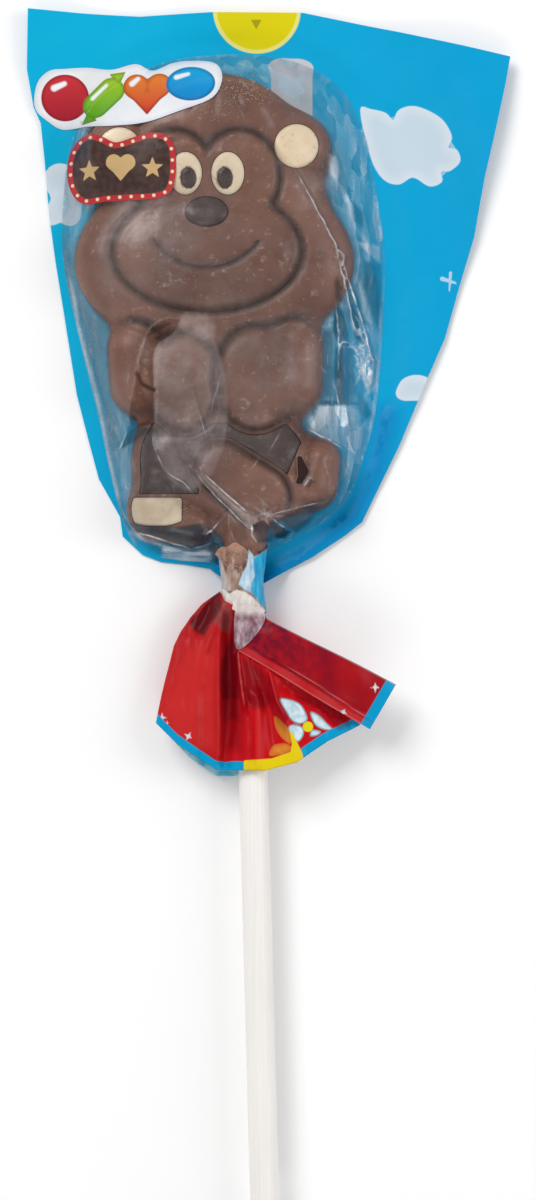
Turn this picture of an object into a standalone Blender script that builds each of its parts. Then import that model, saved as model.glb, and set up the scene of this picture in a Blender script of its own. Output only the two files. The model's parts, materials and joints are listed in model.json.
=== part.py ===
"""A wrapped chocolate lollipop, lying on its back with its shown side up.

+X is to the right of the shown side, +Y runs from the stick's free end to the top of the bag, and +Z is up.
The origin is under the middle of the whole, on the surface that it lies on.
Sizes are in millimetres, and each mesh is scaled to metres as it is made.
"""

import math
from collections import namedtuple

import bpy
import numpy as np
from mathutils import Vector
from mathutils.geometry import delaunay_2d_cdt
from mathutils.kdtree import KDTree

MM = 0.001
GAP = 0.3  # clearance between pieces that touch in the real thing

# The film, and the levels of what lies on it
FILM = 0.3  # thickness of the printed film
FIGURE_BACK = 0.6  # height of the chocolate's flat back
SIDE_TOP = 3.6  # height of the figure's upright side, where its front starts to round over

# The stick, a white plastic tube
STICK_RADIUS = 2.25
STICK_BORE = 1.45
STICK_Z = 4.4  # height of its axis
STICK_TOP = (-3.75, 25.5)  # its end inside the chocolate, in X and Y
STICK_END = (-0.6, -92.0)  # its free end
STICK_CHAMFER = 0.2

# The moulded figure: this point is its chin, and every form of it is placed from there
CHIN = (-8.3, 43.2)
CHOCOLATE_FILLET = 2.6
ARM_FILLET = 2.4

# The bag: a printed back panel, sealed to a clear front
PANEL_OUTLINE = [
    (-37.2, 92.0), (-28.0, 91.3), (-19.9, 90.9), (-8.6, 91.6), (5.3, 91.5), (20.4, 88.4), (37.4, 84.6),
    (36.7, 80.7), (35.2, 73.7), (33.4, 65.8), (31.8, 56.6), (29.6, 49.2), (27.3, 41.0), (24.8, 35.3),
    (20.2, 24.3), (17.4, 18.6), (14.5, 12.6), (12.0, 10.6), (6.7, 7.1), (1.4, 4.3), (-0.9, 3.0), (-1.6, 1.6),
    (-2.6, 1.6), (-3.7, 1.6), (-4.8, 1.6), (-5.8, 1.6), (-7.2, 4.0), (-9.2, 5.4), (-12.9, 6.0), (-16.6, 6.4),
    (-19.5, 7.5), (-22.6, 10.4), (-23.0, 13.4), (-26.3, 19.3), (-27.9, 25.3), (-29.7, 32.3), (-31.8, 45.5),
    (-33.0, 52.8), (-34.0, 60.2), (-34.7, 68.7), (-35.3, 74.4), (-36.4, 76.9), (-37.4, 82.7),
]
POUCH_OUTLINE = [
    (-31.5, 54.0), (-31.4, 62.5), (-30.0, 72.0), (-25.2, 78.9), (-16.8, 83.3), (-8.0, 84.6), (0.0, 84.4),
    (6.4, 82.6), (11.6, 78.6), (14.9, 71.4), (16.6, 62.0), (17.6, 53.6), (17.3, 42.0), (16.3, 30.5),
    (14.6, 23.4), (12.2, 17.0), (9.0, 13.5), (5.4, 11.2), (1.4, 9.0), (-1.4, 6.4), (-6.4, 5.9), (-9.4, 6.8),
    (-14.0, 7.1), (-19.6, 8.5), (-22.3, 12.4), (-24.6, 20.0), (-26.6, 28.4), (-28.6, 37.0), (-30.6, 46.0),
]
POUCH_BACK = 0.6  # height of the pouch's underside
POUCH_RIM = 1.0  # height of the clear film where it meets the printed film
POUCH_SHOULDER = 6.4  # height at which the clear film reaches the figure's side
STEM_WAY = (-3.35, 6.0)  # middle of the opening at the pouch's lower end, round the figure's stem
STEM_WAY_HALF = (4.1, 3.0)
PANEL_LIFT = 3.2  # how far the bag's free corners curl up
PANEL_CURL_REACH = 26.0
PANEL_WAVE = 31.0

# The gathered end of the bag: a neck twisted round the stick, then a pleated skirt
TONGUE_FOLD = 5.8  # where the panel starts to rise to the neck
TONGUE_NECK = 3.2  # where it has reached it
NECK_TOP = 5.6
NECK_FOOT = 0.6
NECK_RADIUS = 3.5
NECK_ASIDE = 0.6  # the neck's middle is this far to the left of the stick's
NECK_FOLDS = 9
NECK_FOLD_DEPTH = 0.22
SKIRT_WALL = 0.36
# The skirt from its left edge, 0, to its right edge, 1, in X and Y: along its shoulder and along its hem
SHOULDER = [(0.0, -14.3, -5.8), (0.5, -4.4, -8.8), (1.0, 5.6, -6.8)]
HEM = [
    (0.0, -17.4, -18.4), (0.12, -14.2, -22.6), (0.3, -8.0, -25.6), (0.5, -0.6, -25.7), (0.66, 4.4, -24.4),
    (0.82, 9.0, -21.2), (1.0, 14.2, -18.7),
]
SHOULDER_AT = 0.33  # how far down the skirt its shoulder is
SKIRT_HALF_HEIGHT = 3.45
SKIRT_PLEATS = 8
SKIRT_PLEAT_DEPTH = 0.75
FLAP_ROOT = ((-0.6, -2.1), (-4.4, -7.2))  # the folded corner: where its two long edges start
FLAP_END = ((19.6, -12.4), (15.6, -19.4))  # and where they end
FLAP_ROOT_Z = 7.0
FLAP_END_Z = 6.2
FLAP_THICKNESS = 0.6
FLAP_CROWN = 0.7
FLAP_ARCH = 1.5  # how far its upper edge arches up between its ends

COLOURS = {
    "milk_chocolate": (0.195, 0.098, 0.066, 0.42, 0.0),
    "white_chocolate": (0.72, 0.56, 0.33, 0.42, 0.0),
    "dark_chocolate": (0.055, 0.032, 0.028, 0.4, 0.0),
    "white_plastic": (0.82, 0.80, 0.77, 0.45, 0.0),
    "printed_film": (0.0, 0.36, 0.68, 0.28, 0.0),
    "clear_film": (0.62, 0.72, 0.78, 0.15, 0.0),
}

# A swelling of the figure: its outline as a distance function, how high it stands, and how wide it rounds over
Form = namedtuple("Form", "distance height shoulder")
# A line pressed into the chocolate: its distance function, depth and half width
Groove = namedtuple("Groove", "distance depth width")


def material(name):
    """A Principled material in the colour, roughness and metallic value of the table above."""
    red, green, blue, roughness, metallic = COLOURS[name]
    made = bpy.data.materials.get(name) or bpy.data.materials.new(name)
    made.use_nodes = True
    shader = made.node_tree.nodes["Principled BSDF"]
    shader.inputs["Base Color"].default_value = (red, green, blue, 1.0)
    shader.inputs["Roughness"].default_value = roughness
    shader.inputs["Metallic"].default_value = metallic
    made.diffuse_color = (red, green, blue, 1.0)
    return made


# Flat outlines as distance functions: below zero inside, above zero outside


def ellipse(centre, radii):
    """Distance to an ellipse, near enough for rounding and grooves."""

    def distance(x, y):
        across, along = (x - centre[0]) / radii[0], (y - centre[1]) / radii[1]
        size = np.hypot(across, along)
        slope = np.hypot(across / radii[0], along / radii[1])
        scale = np.where(slope > 1e-6, size / np.maximum(slope, 1e-6), min(radii))
        return scale * (size - 1.0)

    return distance


def limb(start, end, start_radius, end_radius):
    """Distance to a rounded bar whose radius changes from one end to the other."""
    run = np.subtract(end, start)
    length_squared = float(run @ run)

    def distance(x, y):
        from_start = (x - start[0]) * run[0] + (y - start[1]) * run[1]
        share = np.clip(from_start / length_squared, 0.0, 1.0)
        gap = np.hypot(x - start[0] - share * run[0], y - start[1] - share * run[1])
        return gap - start_radius - share * (end_radius - start_radius)

    return distance


def block(centre, half, radius):
    """Distance to a rectangle with round corners."""

    def distance(x, y):
        across = np.abs(x - centre[0]) - half[0] + radius
        along = np.abs(y - centre[1]) - half[1] + radius
        outside = np.hypot(np.maximum(across, 0.0), np.maximum(along, 0.0))
        return outside + np.minimum(np.maximum(across, along), 0.0) - radius

    return distance


def polygon(points):
    """Distance to a closed outline of straight sides."""
    corners = [np.array(p, float) for p in points]

    def distance(x, y):
        nearest = np.full(np.shape(x), 1e9)
        inside = np.zeros(np.shape(x), bool)
        for a, b in zip(corners, corners[1:] + corners[:1]):
            run = b - a
            share = np.clip(((x - a[0]) * run[0] + (y - a[1]) * run[1]) / (run @ run), 0.0, 1.0)
            nearest = np.minimum(nearest, np.hypot(x - a[0] - share * run[0], y - a[1] - share * run[1]))
            if a[1] != b[1]:
                spans = (a[1] > y) != (b[1] > y)
                inside ^= spans & (x < a[0] + run[0] * (y - a[1]) / run[1])
        return np.where(inside, -nearest, nearest)

    return distance


def joined(fillet, *fields):
    """The outlines made one, with their inner corners filled to this radius."""

    def distance(x, y):
        whole = fields[0](x, y)
        for field in fields[1:]:
            other = field(x, y)
            share = np.clip(0.5 + 0.5 * (other - whole) / fillet, 0.0, 1.0)
            whole = other * (1 - share) + whole * share - fillet * share * (1 - share)
        return whole

    return distance


def grown(field, by):
    return lambda x, y: field(x, y) - by


def common(*fields):
    return lambda x, y: np.maximum.reduce([field(x, y) for field in fields])


def outside(field, gap=0.0):
    return lambda x, y: gap - field(x, y)


# The figure's forms, each placed from the chin


def from_chin(right, up):
    return (CHIN[0] + right, CHIN[1] + up)


FACE_SIDE = -1.2  # the face looks a little to the left
EAR_CENTRES = {"left": from_chin(-14.6, 26.6), "right": from_chin(12.6, 27.1)}
EAR_RADIUS = 5.4
EYE_APART, EYE_UP = 3.25, 22.8

cranium = ellipse(from_chin(0.2, 19.2), (17.0, 19.4))
cheeks = ellipse(from_chin(-0.1, 9.6), (21.6, 14.5))
ears = [ellipse(centre, (EAR_RADIUS, EAR_RADIUS)) for centre in EAR_CENTRES.values()]
torso = ellipse(from_chin(0.3, -8.0), (14.2, 12.0))
hips = ellipse(from_chin(1.4, -20.5), (13.8, 9.0))
left_elbow = limb(from_chin(-12.4, -4.0), from_chin(-12.2, -9.8), 4.3, 4.1)
right_elbow = limb(from_chin(12.5, -3.6), from_chin(12.4, -9.6), 4.4, 4.3)
left_arm = joined(ARM_FILLET, left_elbow, ellipse(from_chin(-4.7, -9.2), (5.5, 7.6)))
right_arm = joined(ARM_FILLET, right_elbow, ellipse(from_chin(6.3, -8.5), (6.4, 8.0)))
left_leg = limb(from_chin(-7.6, -19.0), from_chin(-8.9, -28.0), 4.2, 4.3)
left_foot = limb(from_chin(-9.0, -29.5), from_chin(-3.8, -30.8), 3.9, 3.5)
right_shin = limb(from_chin(16.2, -20.8), from_chin(15.2, -24.9), 3.2, 3.9)
seat = ellipse(from_chin(4.6, -25.2), (11.6, 5.8))
right_foot = limb(from_chin(0.9, -22.2), from_chin(7.0, -26.8), 3.9, 4.6)
stem = limb(from_chin(4.0, -28.0), from_chin(4.7, -33.9), 3.7, 3.3)

silhouette = joined(
    CHOCOLATE_FILLET, cranium, cheeks, *ears, torso, hips, left_arm, right_arm, left_leg, left_foot,
    right_shin, seat, stem,
)

face_plate = joined(
    0.9,
    ellipse(from_chin(FACE_SIDE - 5.0, 22.4), (6.3, 7.2)),
    ellipse(from_chin(FACE_SIDE + 5.0, 22.4), (6.3, 7.2)),
    ellipse(from_chin(FACE_SIDE, 11.0), (14.6, 9.4)),
)
muzzle = ellipse(from_chin(FACE_SIDE, 10.4), (12.6, 7.6))
smile_arc = ellipse(from_chin(FACE_SIDE, 16.4), (9.2, 8.0))
SMILE_TOP = CHIN[1] + 12.6


def smile(x, y):
    return np.where(y < SMILE_TOP, np.abs(smile_arc(x, y)), 9.0)


# Heights above the table of the masses that make the outline, and of the reliefs that stand on them
MASSES = [
    Form(silhouette, 6.6, 4.2),
    Form(cranium, 8.7, 7.5),
    Form(cheeks, 8.7, 7.0),
    *[Form(ear, 7.9, 2.4) for ear in ears],
    Form(torso, 7.9, 6.0),
    Form(hips, 8.9, 5.5),
    Form(left_leg, 8.4, 4.2),
    Form(left_foot, 7.4, 3.2),
    Form(right_shin, 8.2, 3.8),
    Form(seat, 8.3, 5.0),
    Form(stem, 7.7, 3.2),
]
RELIEFS = [
    Form(face_plate, 0.7, 1.0),
    Form(muzzle, 1.1, 7.0),
    Form(left_arm, 1.5, 3.6),
    Form(right_arm, 1.5, 3.8),
    Form(right_foot, 1.1, 2.8),
    Form(right_shin, 0.6, 2.6),
]
GROOVES = [
    Groove(lambda x, y: np.abs(face_plate(x, y)), 0.75, 0.62),
    Groove(smile, 0.6, 0.45),
    Groove(lambda x, y: np.abs(left_arm(x, y)), 0.7, 0.6),
    Groove(lambda x, y: np.abs(right_arm(x, y)), 0.7, 0.6),
    Groove(lambda x, y: np.abs(right_foot(x, y)), 0.6, 0.5),
]


def dome(depth, shoulder):
    """From 0 at an outline to 1 at this depth inside it, as a quarter round."""
    share = np.clip(depth / shoulder, 0.0, 1.0)
    return np.sqrt(1.0 - (1.0 - share) ** 2)


def figure_front(x, y):
    """Height of the chocolate's face above the table."""
    height = np.full(np.shape(x), SIDE_TOP)
    for mass in MASSES:
        swell = SIDE_TOP + (mass.height - SIDE_TOP) * dome(-mass.distance(x, y), mass.shoulder)
        height = np.maximum(height, swell)
    for relief in RELIEFS:
        height = height + relief.height * dome(-relief.distance(x, y), relief.shoulder)
    inner = np.clip(-silhouette(x, y) / 2.0, 0.0, 1.0)  # grooves run out before the figure's edge
    for groove in GROOVES:
        height = height - inner * groove.depth * np.exp(-((groove.distance(x, y) / groove.width) ** 2))
    return height


# Lines and surfaces


def contour(field, level=0.0, step=0.4, low=(-40.0, -2.0), high=(24.0, 92.0)):
    """The longest closed line on which a distance function has this level, by marching squares."""
    xs, ys = np.arange(low[0], high[0], step), np.arange(low[1], high[1], step)
    values = field(*np.meshgrid(xs, ys, indexing="ij")) - level
    inside = values < 0
    corner_count = inside[:-1, :-1] * 1 + inside[1:, :-1] + inside[1:, 1:] + inside[:-1, 1:]
    links = {}
    for i, j in zip(*np.nonzero((corner_count > 0) & (corner_count < 4))):
        cell = [(i, j), (i + 1, j), (i + 1, j + 1), (i, j + 1)]
        sides = zip(cell, cell[1:] + cell[:1])
        cuts = [tuple(sorted(side)) for side in sides if inside[side[0]] != inside[side[1]]]
        for one, other in zip(cuts[::2], cuts[1::2]):
            links.setdefault(one, []).append(other)
            links.setdefault(other, []).append(one)
    loops = []
    while links:
        start = next(iter(links))
        loop, cut = [], start
        while cut in links:
            loop.append(cut)
            ahead = [n for n in links.pop(cut) if n in links]
            cut = ahead[0] if ahead else None
        loops.append(loop)
    points = []
    for a, b in max(loops, key=len):
        share = values[a] / (values[a] - values[b])
        points.append((xs[a[0]] + share * (xs[b[0]] - xs[a[0]]), ys[a[1]] + share * (ys[b[1]] - ys[a[1]])))
    return anticlockwise(points)


def anticlockwise(points):
    area = sum(a[0] * b[1] - b[0] * a[1] for a, b in zip(points, points[1:] + points[:1]))
    return list(points) if area > 0 else list(points)[::-1]


def evenly(points, spacing, closed=True):
    """The same line with points about this far apart."""
    line = np.array(points + points[:1] if closed else points, float)
    run = np.concatenate([[0.0], np.cumsum(np.hypot(*np.diff(line, axis=0).T))])
    count = max(3, round(run[-1] / spacing))
    at = np.linspace(0.0, run[-1], count + 1)[: count if closed else count + 1]
    return list(zip(np.interp(at, run, line[:, 0]), np.interp(at, run, line[:, 1])))


def with_corners(points, spacing):
    """The same closed line, its long sides split to about this length and its corners kept."""
    made = []
    for a, b in zip(points, points[1:] + points[:1]):
        count = max(1, round(math.dist(a, b) / spacing))
        made += [tuple(np.add(a, np.subtract(b, a) * k / count)) for k in range(count)]
    return made


def rounded(points, per_side=4):
    """A smooth closed curve through these points."""
    line = np.array(points, float)
    before, after, beyond = np.roll(line, 1, 0), np.roll(line, -1, 0), np.roll(line, -2, 0)
    made = []
    for p0, p1, p2, p3 in zip(before, line, after, beyond):
        for t in np.arange(per_side) / per_side:
            bend = (2 * p0 - 5 * p1 + 4 * p2 - p3) * t * t + (3 * p1 - p0 - 3 * p2 + p3) * t**3
            made.append(tuple(0.5 * (2 * p1 + (p2 - p0) * t + bend)))
    return anticlockwise(made)


def kept_runs(points, keep):
    """The stretches of a closed line at which keep is true."""
    flags = keep(*np.array(points).T)
    if flags.all():
        return [points + points[:1]]
    first = int(np.argmin(flags))
    runs, run = [], []
    for k in range(first, first + len(points)):
        if flags[k % len(points)]:
            run.append(points[k % len(points)])
        elif run:
            runs.append(run)
            run = []
    return [r for r in runs + [run] if len(r) > 2]


def filled(outline, lines, spacing):
    """Triangles inside the outline, with edges along the lines and points this far apart elsewhere."""
    points, edges = list(outline), [(k, (k + 1) % len(outline)) for k in range(len(outline))]
    for line in lines:
        edges += [(len(points) + k, len(points) + k + 1) for k in range(len(line) - 1)]
        points += line
    tree = KDTree(len(points))
    for k, (x, y) in enumerate(points):
        tree.insert((x, y, 0.0), k)
    tree.balance()
    inside = polygon(outline)
    (x0, y0), (x1, y1) = np.min(outline, axis=0), np.max(outline, axis=0)
    rise = spacing * math.sqrt(0.75)
    for row, y in enumerate(np.arange(y0, y1, rise)):
        xs = np.arange(x0 + (row % 2) * spacing / 2, x1, spacing)
        depths = -inside(xs, np.full(xs.shape, y))
        for x, depth in zip(xs, depths):
            if depth > 0.5 * spacing and tree.find((x, y, 0.0))[2] > 0.62 * spacing:
                points.append((x, y))
    done = delaunay_2d_cdt([Vector(p) for p in points], edges, [], 1, 1e-5, False)
    flat, triangles = np.array([tuple(p) for p in done[0]]), np.array(done[2])
    in_outline = inside(*flat[triangles].mean(axis=1).T) < 0.0
    return flat, [tuple(t) for t in triangles[in_outline]]


def rim_of(triangles):
    """The outer edge of a sheet of triangles, as one loop of point numbers."""
    sides = {(t[k], t[(k + 1) % 3]) for t in triangles for k in range(3)}
    following = {a: b for a, b in sides if (b, a) not in sides}
    loop = [next(iter(following))]
    while following[loop[-1]] != loop[0]:
        loop.append(following[loop[-1]])
    return loop


def slab(name, outline, top, bottom, slot, lines=(), spacing=2.0):
    """A closed solid between two heights, each a function of X and Y, or a number for a flat bottom."""
    flat_points, triangles = filled(outline, lines, spacing)
    x, y = flat_points.T
    rim, count = rim_of(triangles), len(flat_points)
    upper = np.column_stack([x, y, top(x, y)])
    if callable(bottom):
        lower = np.column_stack([x, y, bottom(x, y)])
        base = [t[::-1] for t in ([k + count for k in tri] for tri in triangles)]
        below = {k: k + count for k in rim}
    else:
        lower = np.array([(x[k], y[k], bottom) for k in rim])
        below = {k: n + count for n, k in enumerate(rim)}
        base = [[below[k] for k in reversed(rim)]]
    walls = [(b, a, below[a], below[b]) for a, b in zip(rim, rim[1:] + rim[:1])]
    return solid(name, np.vstack([upper, lower]), list(triangles) + base + walls, slot)


def solid(name, points, faces, slot):
    """An object with these points in millimetres, shaded smooth but for its sharp edges."""
    mesh = bpy.data.meshes.new(name)
    mesh.from_pydata([tuple(p) for p in np.asarray(points) * MM], [], [tuple(int(k) for k in f) for f in faces])
    mesh.materials.append(material(slot))
    mesh.shade_smooth()
    mesh.set_sharp_from_angle(angle=math.radians(40))
    made = bpy.data.objects.new(name, mesh)
    bpy.context.scene.collection.objects.link(made)
    return made


def as_cutter(helper):
    helper.hide_render = True
    helper.display_type = "WIRE"
    return helper


def cut(piece, cutter):
    boolean = piece.modifiers.new(f"cut_{cutter.name}", "BOOLEAN")
    boolean.operation = "DIFFERENCE"
    boolean.solver = "EXACT"
    boolean.object = as_cutter(cutter)


# The chocolate

EDGE_LEVELS = (-0.5, -1.4, -3.0)
LINE_SPACING = 1.5


def relief_lines():
    """Lines along the figure's rounded edge and down both sides of its grooves, for its surface to follow."""
    inside = lambda x, y: silhouette(x, y) < EDGE_LEVELS[-1] - 0.6
    lines = []
    for level in EDGE_LEVELS:
        ring = evenly(contour(silhouette, level), LINE_SPACING)
        lines.append(ring + ring[:1])
    for field in (face_plate, left_arm, right_arm, right_foot):
        for level in (-0.8, 0.0, 0.8):
            lines += kept_runs(evenly(contour(field, level), LINE_SPACING), inside)
    for level in (-0.5, 0.5):
        arc = evenly(contour(smile_arc, level), LINE_SPACING)
        lines += kept_runs(arc, lambda x, y: y < SMILE_TOP)
    return lines


def make_figure():
    """The milk chocolate casting: a flat back, upright sides and a moulded front."""
    outline = evenly(contour(silhouette), 1.8)
    return slab("chocolate_figure", outline, figure_front, FIGURE_BACK, "milk_chocolate", relief_lines(), 2.1)


def inlay(name, host, field, slot, proud, back, spacing=1.5):
    """A patch of another chocolate, set into its host and standing this proud of it.

    Its back is flat at this height, or follows a function of X and Y.
    """

    def top(x, y):
        return figure_front(x, y) + proud * dome(-field(x, y), 1.2)

    pocket_back = (lambda x, y: back(x, y) - 1.5 * GAP) if callable(back) else back - GAP
    pocket_line = evenly(contour(grown(field, GAP), step=0.2), 0.9)
    pocket_top = lambda x, y: figure_front(x, y) + 2.0
    pocket = slab(f"{name}_pocket", pocket_line, pocket_top, pocket_back, slot, spacing=spacing)
    cut(host, pocket)
    rounding = evenly(contour(field, -0.5, step=0.2), 0.9)
    lines = [rounding + rounding[:1]]
    return slab(name, evenly(contour(field, step=0.2), 0.9), top, back, slot, lines, spacing)


def make_inlays(figure):
    """White and dark chocolate, cast into the front: ears, eyes, nose, shorts and a cuff."""
    for side, word in ((-1, "left"), (1, "right")):
        inlay(f"ear_disc_{word}", figure, ellipse(EAR_CENTRES[word], (3.5, 3.5)), "white_chocolate", 0.35, 5.8)
        eye_side = FACE_SIDE + side * EYE_APART
        white = ellipse(from_chin(eye_side, EYE_UP), (2.65, 3.4))
        eye = inlay(f"eye_{word}", figure, white, "white_chocolate", 0.3, 7.6, 1.2)
        pupil = ellipse(from_chin(eye_side - side * 0.45, EYE_UP - 0.7), (1.25, 1.7))
        inlay(f"pupil_{word}", eye, pupil, "dark_chocolate", 0.55, 8.6, 0.9)
    nose = ellipse(from_chin(FACE_SIDE, 16.9), (3.4, 2.4))
    inlay("nose", figure, nose, "dark_chocolate", 1.0, 7.8, 1.2)
    waist, trouser_end = CHIN[1] - 15.4, CHIN[1] - 26.4
    shorts = common(
        grown(silhouette, -1.4),
        lambda x, y: y - waist,
        lambda x, y: trouser_end - y,
        outside(left_arm, 0.7),
        outside(right_arm, 0.7),
        outside(right_foot, 0.7),
        outside(right_shin, 0.4),
        outside(limb(from_chin(1.5, -25.6), from_chin(11.0, -29.0), 3.9, 4.2)),
    )
    inlay("shorts", figure, shorts, "dark_chocolate", 0.2, lambda x, y: figure_front(x, y) - 1.1)
    cuff = common(
        grown(silhouette, -0.7), block(from_chin(-9.1, -29.1), (4.2, 2.3), 0.6),
        ellipse(from_chin(-9.1, -27.7), (6.5, 3.8)),
    )
    inlay("cuff", figure, cuff, "white_chocolate", 0.4, 5.0)


# The stick

STICK_SIDES = 24


def tube(name, start, end, radius, bore, chamfer, slot):
    """A round bar between two points at the stick's height, bored right through where it has a bore."""
    start, end = np.array([*start, STICK_Z]), np.array([*end, STICK_Z])
    along = (end - start) / np.linalg.norm(end - start)
    up = np.array([0.0, 0.0, 1.0])
    across = np.cross(along, up)
    profile = [(start, radius - chamfer), (start + along * chamfer, radius)]
    profile += [(end - along * chamfer, radius), (end, radius - chamfer)]
    if bore:
        profile += [(end, bore), (start, bore)]
    turns = [2 * math.pi * k / STICK_SIDES for k in range(STICK_SIDES)]
    points = [at + r * (math.cos(a) * across + math.sin(a) * up) for at, r in profile for a in turns]
    rings = [list(range(k * STICK_SIDES, (k + 1) * STICK_SIDES)) for k in range(len(profile))]
    faces = []
    for one, other in zip(rings, rings[1:] + (rings[:1] if bore else [])):
        for k in range(STICK_SIDES):
            n = (k + 1) % STICK_SIDES
            faces.append((one[n], one[k], other[k], other[n]))
    if not bore:
        faces += [rings[0], rings[-1][::-1]]
    return solid(name, points, faces, slot)


def make_stick(figure):
    """The plastic tube, and the hole that the casting leaves round it."""
    tube("stick", STICK_TOP, STICK_END, STICK_RADIUS, STICK_BORE, STICK_CHAMFER, "white_plastic")
    run = np.subtract(STICK_TOP, STICK_END)
    beyond = tuple(np.add(STICK_TOP, GAP * run / np.linalg.norm(run)))
    cut(figure, tube("stick_hole", beyond, STICK_END, STICK_RADIUS + GAP, 0.0, 0.01, "white_plastic"))


# The clear pouch

pouch_line = rounded(POUCH_OUTLINE)
pouch = polygon(pouch_line)


def clear_film(x, y):
    """Height of the clear film, up from the seal to the figure's side."""
    to_figure = np.maximum(silhouette(x, y), 0.0)
    to_seal = np.maximum(-pouch(x, y), 0.0)
    share = to_seal / np.maximum(to_seal + to_figure, 0.01)
    return POUCH_RIM + (POUCH_SHOULDER - POUCH_RIM) * share**0.85


def make_pouch():
    """The clear film's tent, filled: a collar from the seal to the figure, open where the stem leaves it."""
    edge = evenly(contour(silhouette, 0.1), 2.4)
    lines = kept_runs(edge, lambda x, y: pouch(x, y) < -0.9)
    collar = slab(
        "clear_pouch", evenly(pouch_line, 2.4), clear_film, POUCH_BACK, "clear_film", lines, 3.4,
    )
    stem_way = block(STEM_WAY, STEM_WAY_HALF, 0.5)
    room = lambda x, y: np.minimum(silhouette(x, y) - GAP, stem_way(x, y))
    room_outline = evenly(contour(room), 1.6)
    cut(collar, slab("figure_room", room_outline, lambda x, y: x * 0.0 + 12.0, 0.0, "clear_film", spacing=60.0))


# The printed film


def smooth_step(low, high, value):
    share = np.clip((value - low) / (high - low), 0.0, 1.0)
    return share * share * (3 - 2 * share)


def stick_x(y):
    """X of the stick's axis at this Y."""
    share = (y - STICK_END[1]) / (STICK_TOP[1] - STICK_END[1])
    return STICK_END[0] + share * (STICK_TOP[0] - STICK_END[0])


def panel_side(x, y, above, radius):
    """Height of a side of the panel: flat under the pouch, curled at the corners, cupped to the neck."""
    away = np.maximum(pouch(x, y) - 1.0, 0.0)
    curl = smooth_step(0.0, PANEL_CURL_REACH, away)
    wave = 0.62 + 0.38 * np.cos(2 * math.pi * (x + 0.4 * y) / PANEL_WAVE)
    aside = x - stick_x(y) + NECK_ASIDE
    cup = STICK_Z - np.sqrt(np.maximum(radius**2 - aside**2, 0.8))
    risen = smooth_step(TONGUE_FOLD - 0.4, TONGUE_NECK, y)
    return (PANEL_LIFT * curl * wave + above) * (1 - risen) + cup * risen


def make_panel():
    """The printed back of the bag, a sheet of film."""
    outline = with_corners(anticlockwise(PANEL_OUTLINE), 3.6)
    ring = evenly(grown_line(pouch_line, 1.2), 4.0)
    lines = kept_runs(ring, lambda x, y: polygon(PANEL_OUTLINE)(x, y) < -1.2)
    lines.append([(x, TONGUE_FOLD) for x in np.linspace(-8.5, 3.2, 6)])
    lines.append([(x, TONGUE_NECK) for x in np.linspace(-5.8, -1.8, 5)])
    front = lambda x, y: panel_side(x, y, FILM, NECK_RADIUS - 0.4)
    back = lambda x, y: panel_side(x, y, 0.0, NECK_RADIUS + 0.3)
    return slab("printed_wrapper", outline, front, back, "printed_film", lines, 4.6)


def grown_line(line, by):
    """A line this far outside a closed one."""
    return contour(grown(polygon(line), by), step=0.5, low=(-44.0, -6.0), high=(30.0, 96.0))


def gathered(t, a):
    """A point of the gathered film: t runs from the neck's top, 0, past its foot, 1, to the hem, 2."""
    right, up = math.cos(a), math.sin(a)
    fold = 1 + NECK_FOLD_DEPTH / NECK_RADIUS * math.cos(NECK_FOLDS * a + 2.5 * t)
    ring_y = NECK_TOP + (NECK_FOOT - NECK_TOP) * min(t, 1.0)
    ring = np.array([
        stick_x(ring_y) - NECK_ASIDE + NECK_RADIUS * fold * right, ring_y, STICK_Z + NECK_RADIUS * fold * up
    ])
    if t <= 1.0:
        return ring
    down = t - 1.0
    across = (right + 1) / 2
    shoulder = np.array([np.interp(across, *np.array(SHOULDER).T[[0, k]]) for k in (1, 2)])
    hem = np.array([np.interp(across, *np.array(HEM).T[[0, k]]) for k in (1, 2)])
    # one smooth curve through the neck, the shoulder and the hem
    neck_share = (down - SHOULDER_AT) * (down - 1) / SHOULDER_AT
    shoulder_share = down * (down - 1) / (SHOULDER_AT * (SHOULDER_AT - 1))
    hem_share = down * (down - SHOULDER_AT) / (1 - SHOULDER_AT)
    x, y = ring[:2] * neck_share + shoulder * shoulder_share + hem * hem_share
    pleat = SKIRT_PLEAT_DEPTH * down * math.cos(SKIRT_PLEATS * a + 0.6)
    half = SKIRT_HALF_HEIGHT * (0.8 + 0.2 * down)
    z = STICK_Z + (half + pleat) * up * (0.55 + 0.45 * abs(up))
    opened = float(smooth_step(0.0, 0.22, down))
    return np.array([x, y, ring[2] * (1 - opened) + z * opened])


AROUND = 56
SKIRT_STEPS = (0.0, 0.34, 0.68, 1.0, 1.05, 1.11, 1.18, 1.28, 1.42, 1.6, 1.8, 2.0)


def make_gathers():
    """The neck and skirt of the bag, one film tube round the stick."""
    points = [gathered(t, 2 * math.pi * k / AROUND) for t in SKIRT_STEPS for k in range(AROUND)]
    faces = []
    for ring in range(len(SKIRT_STEPS) - 1):
        for k in range(AROUND):
            n = (k + 1) % AROUND
            one, other = ring * AROUND, (ring + 1) * AROUND
            faces.append((one + k, one + n, other + n, other + k))
    tube_of_film = solid("gathers", points, faces, "printed_film")
    wall = tube_of_film.modifiers.new("wall", "SOLIDIFY")
    wall.thickness = SKIRT_WALL * MM
    wall.offset = -1.0
    return tube_of_film


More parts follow.
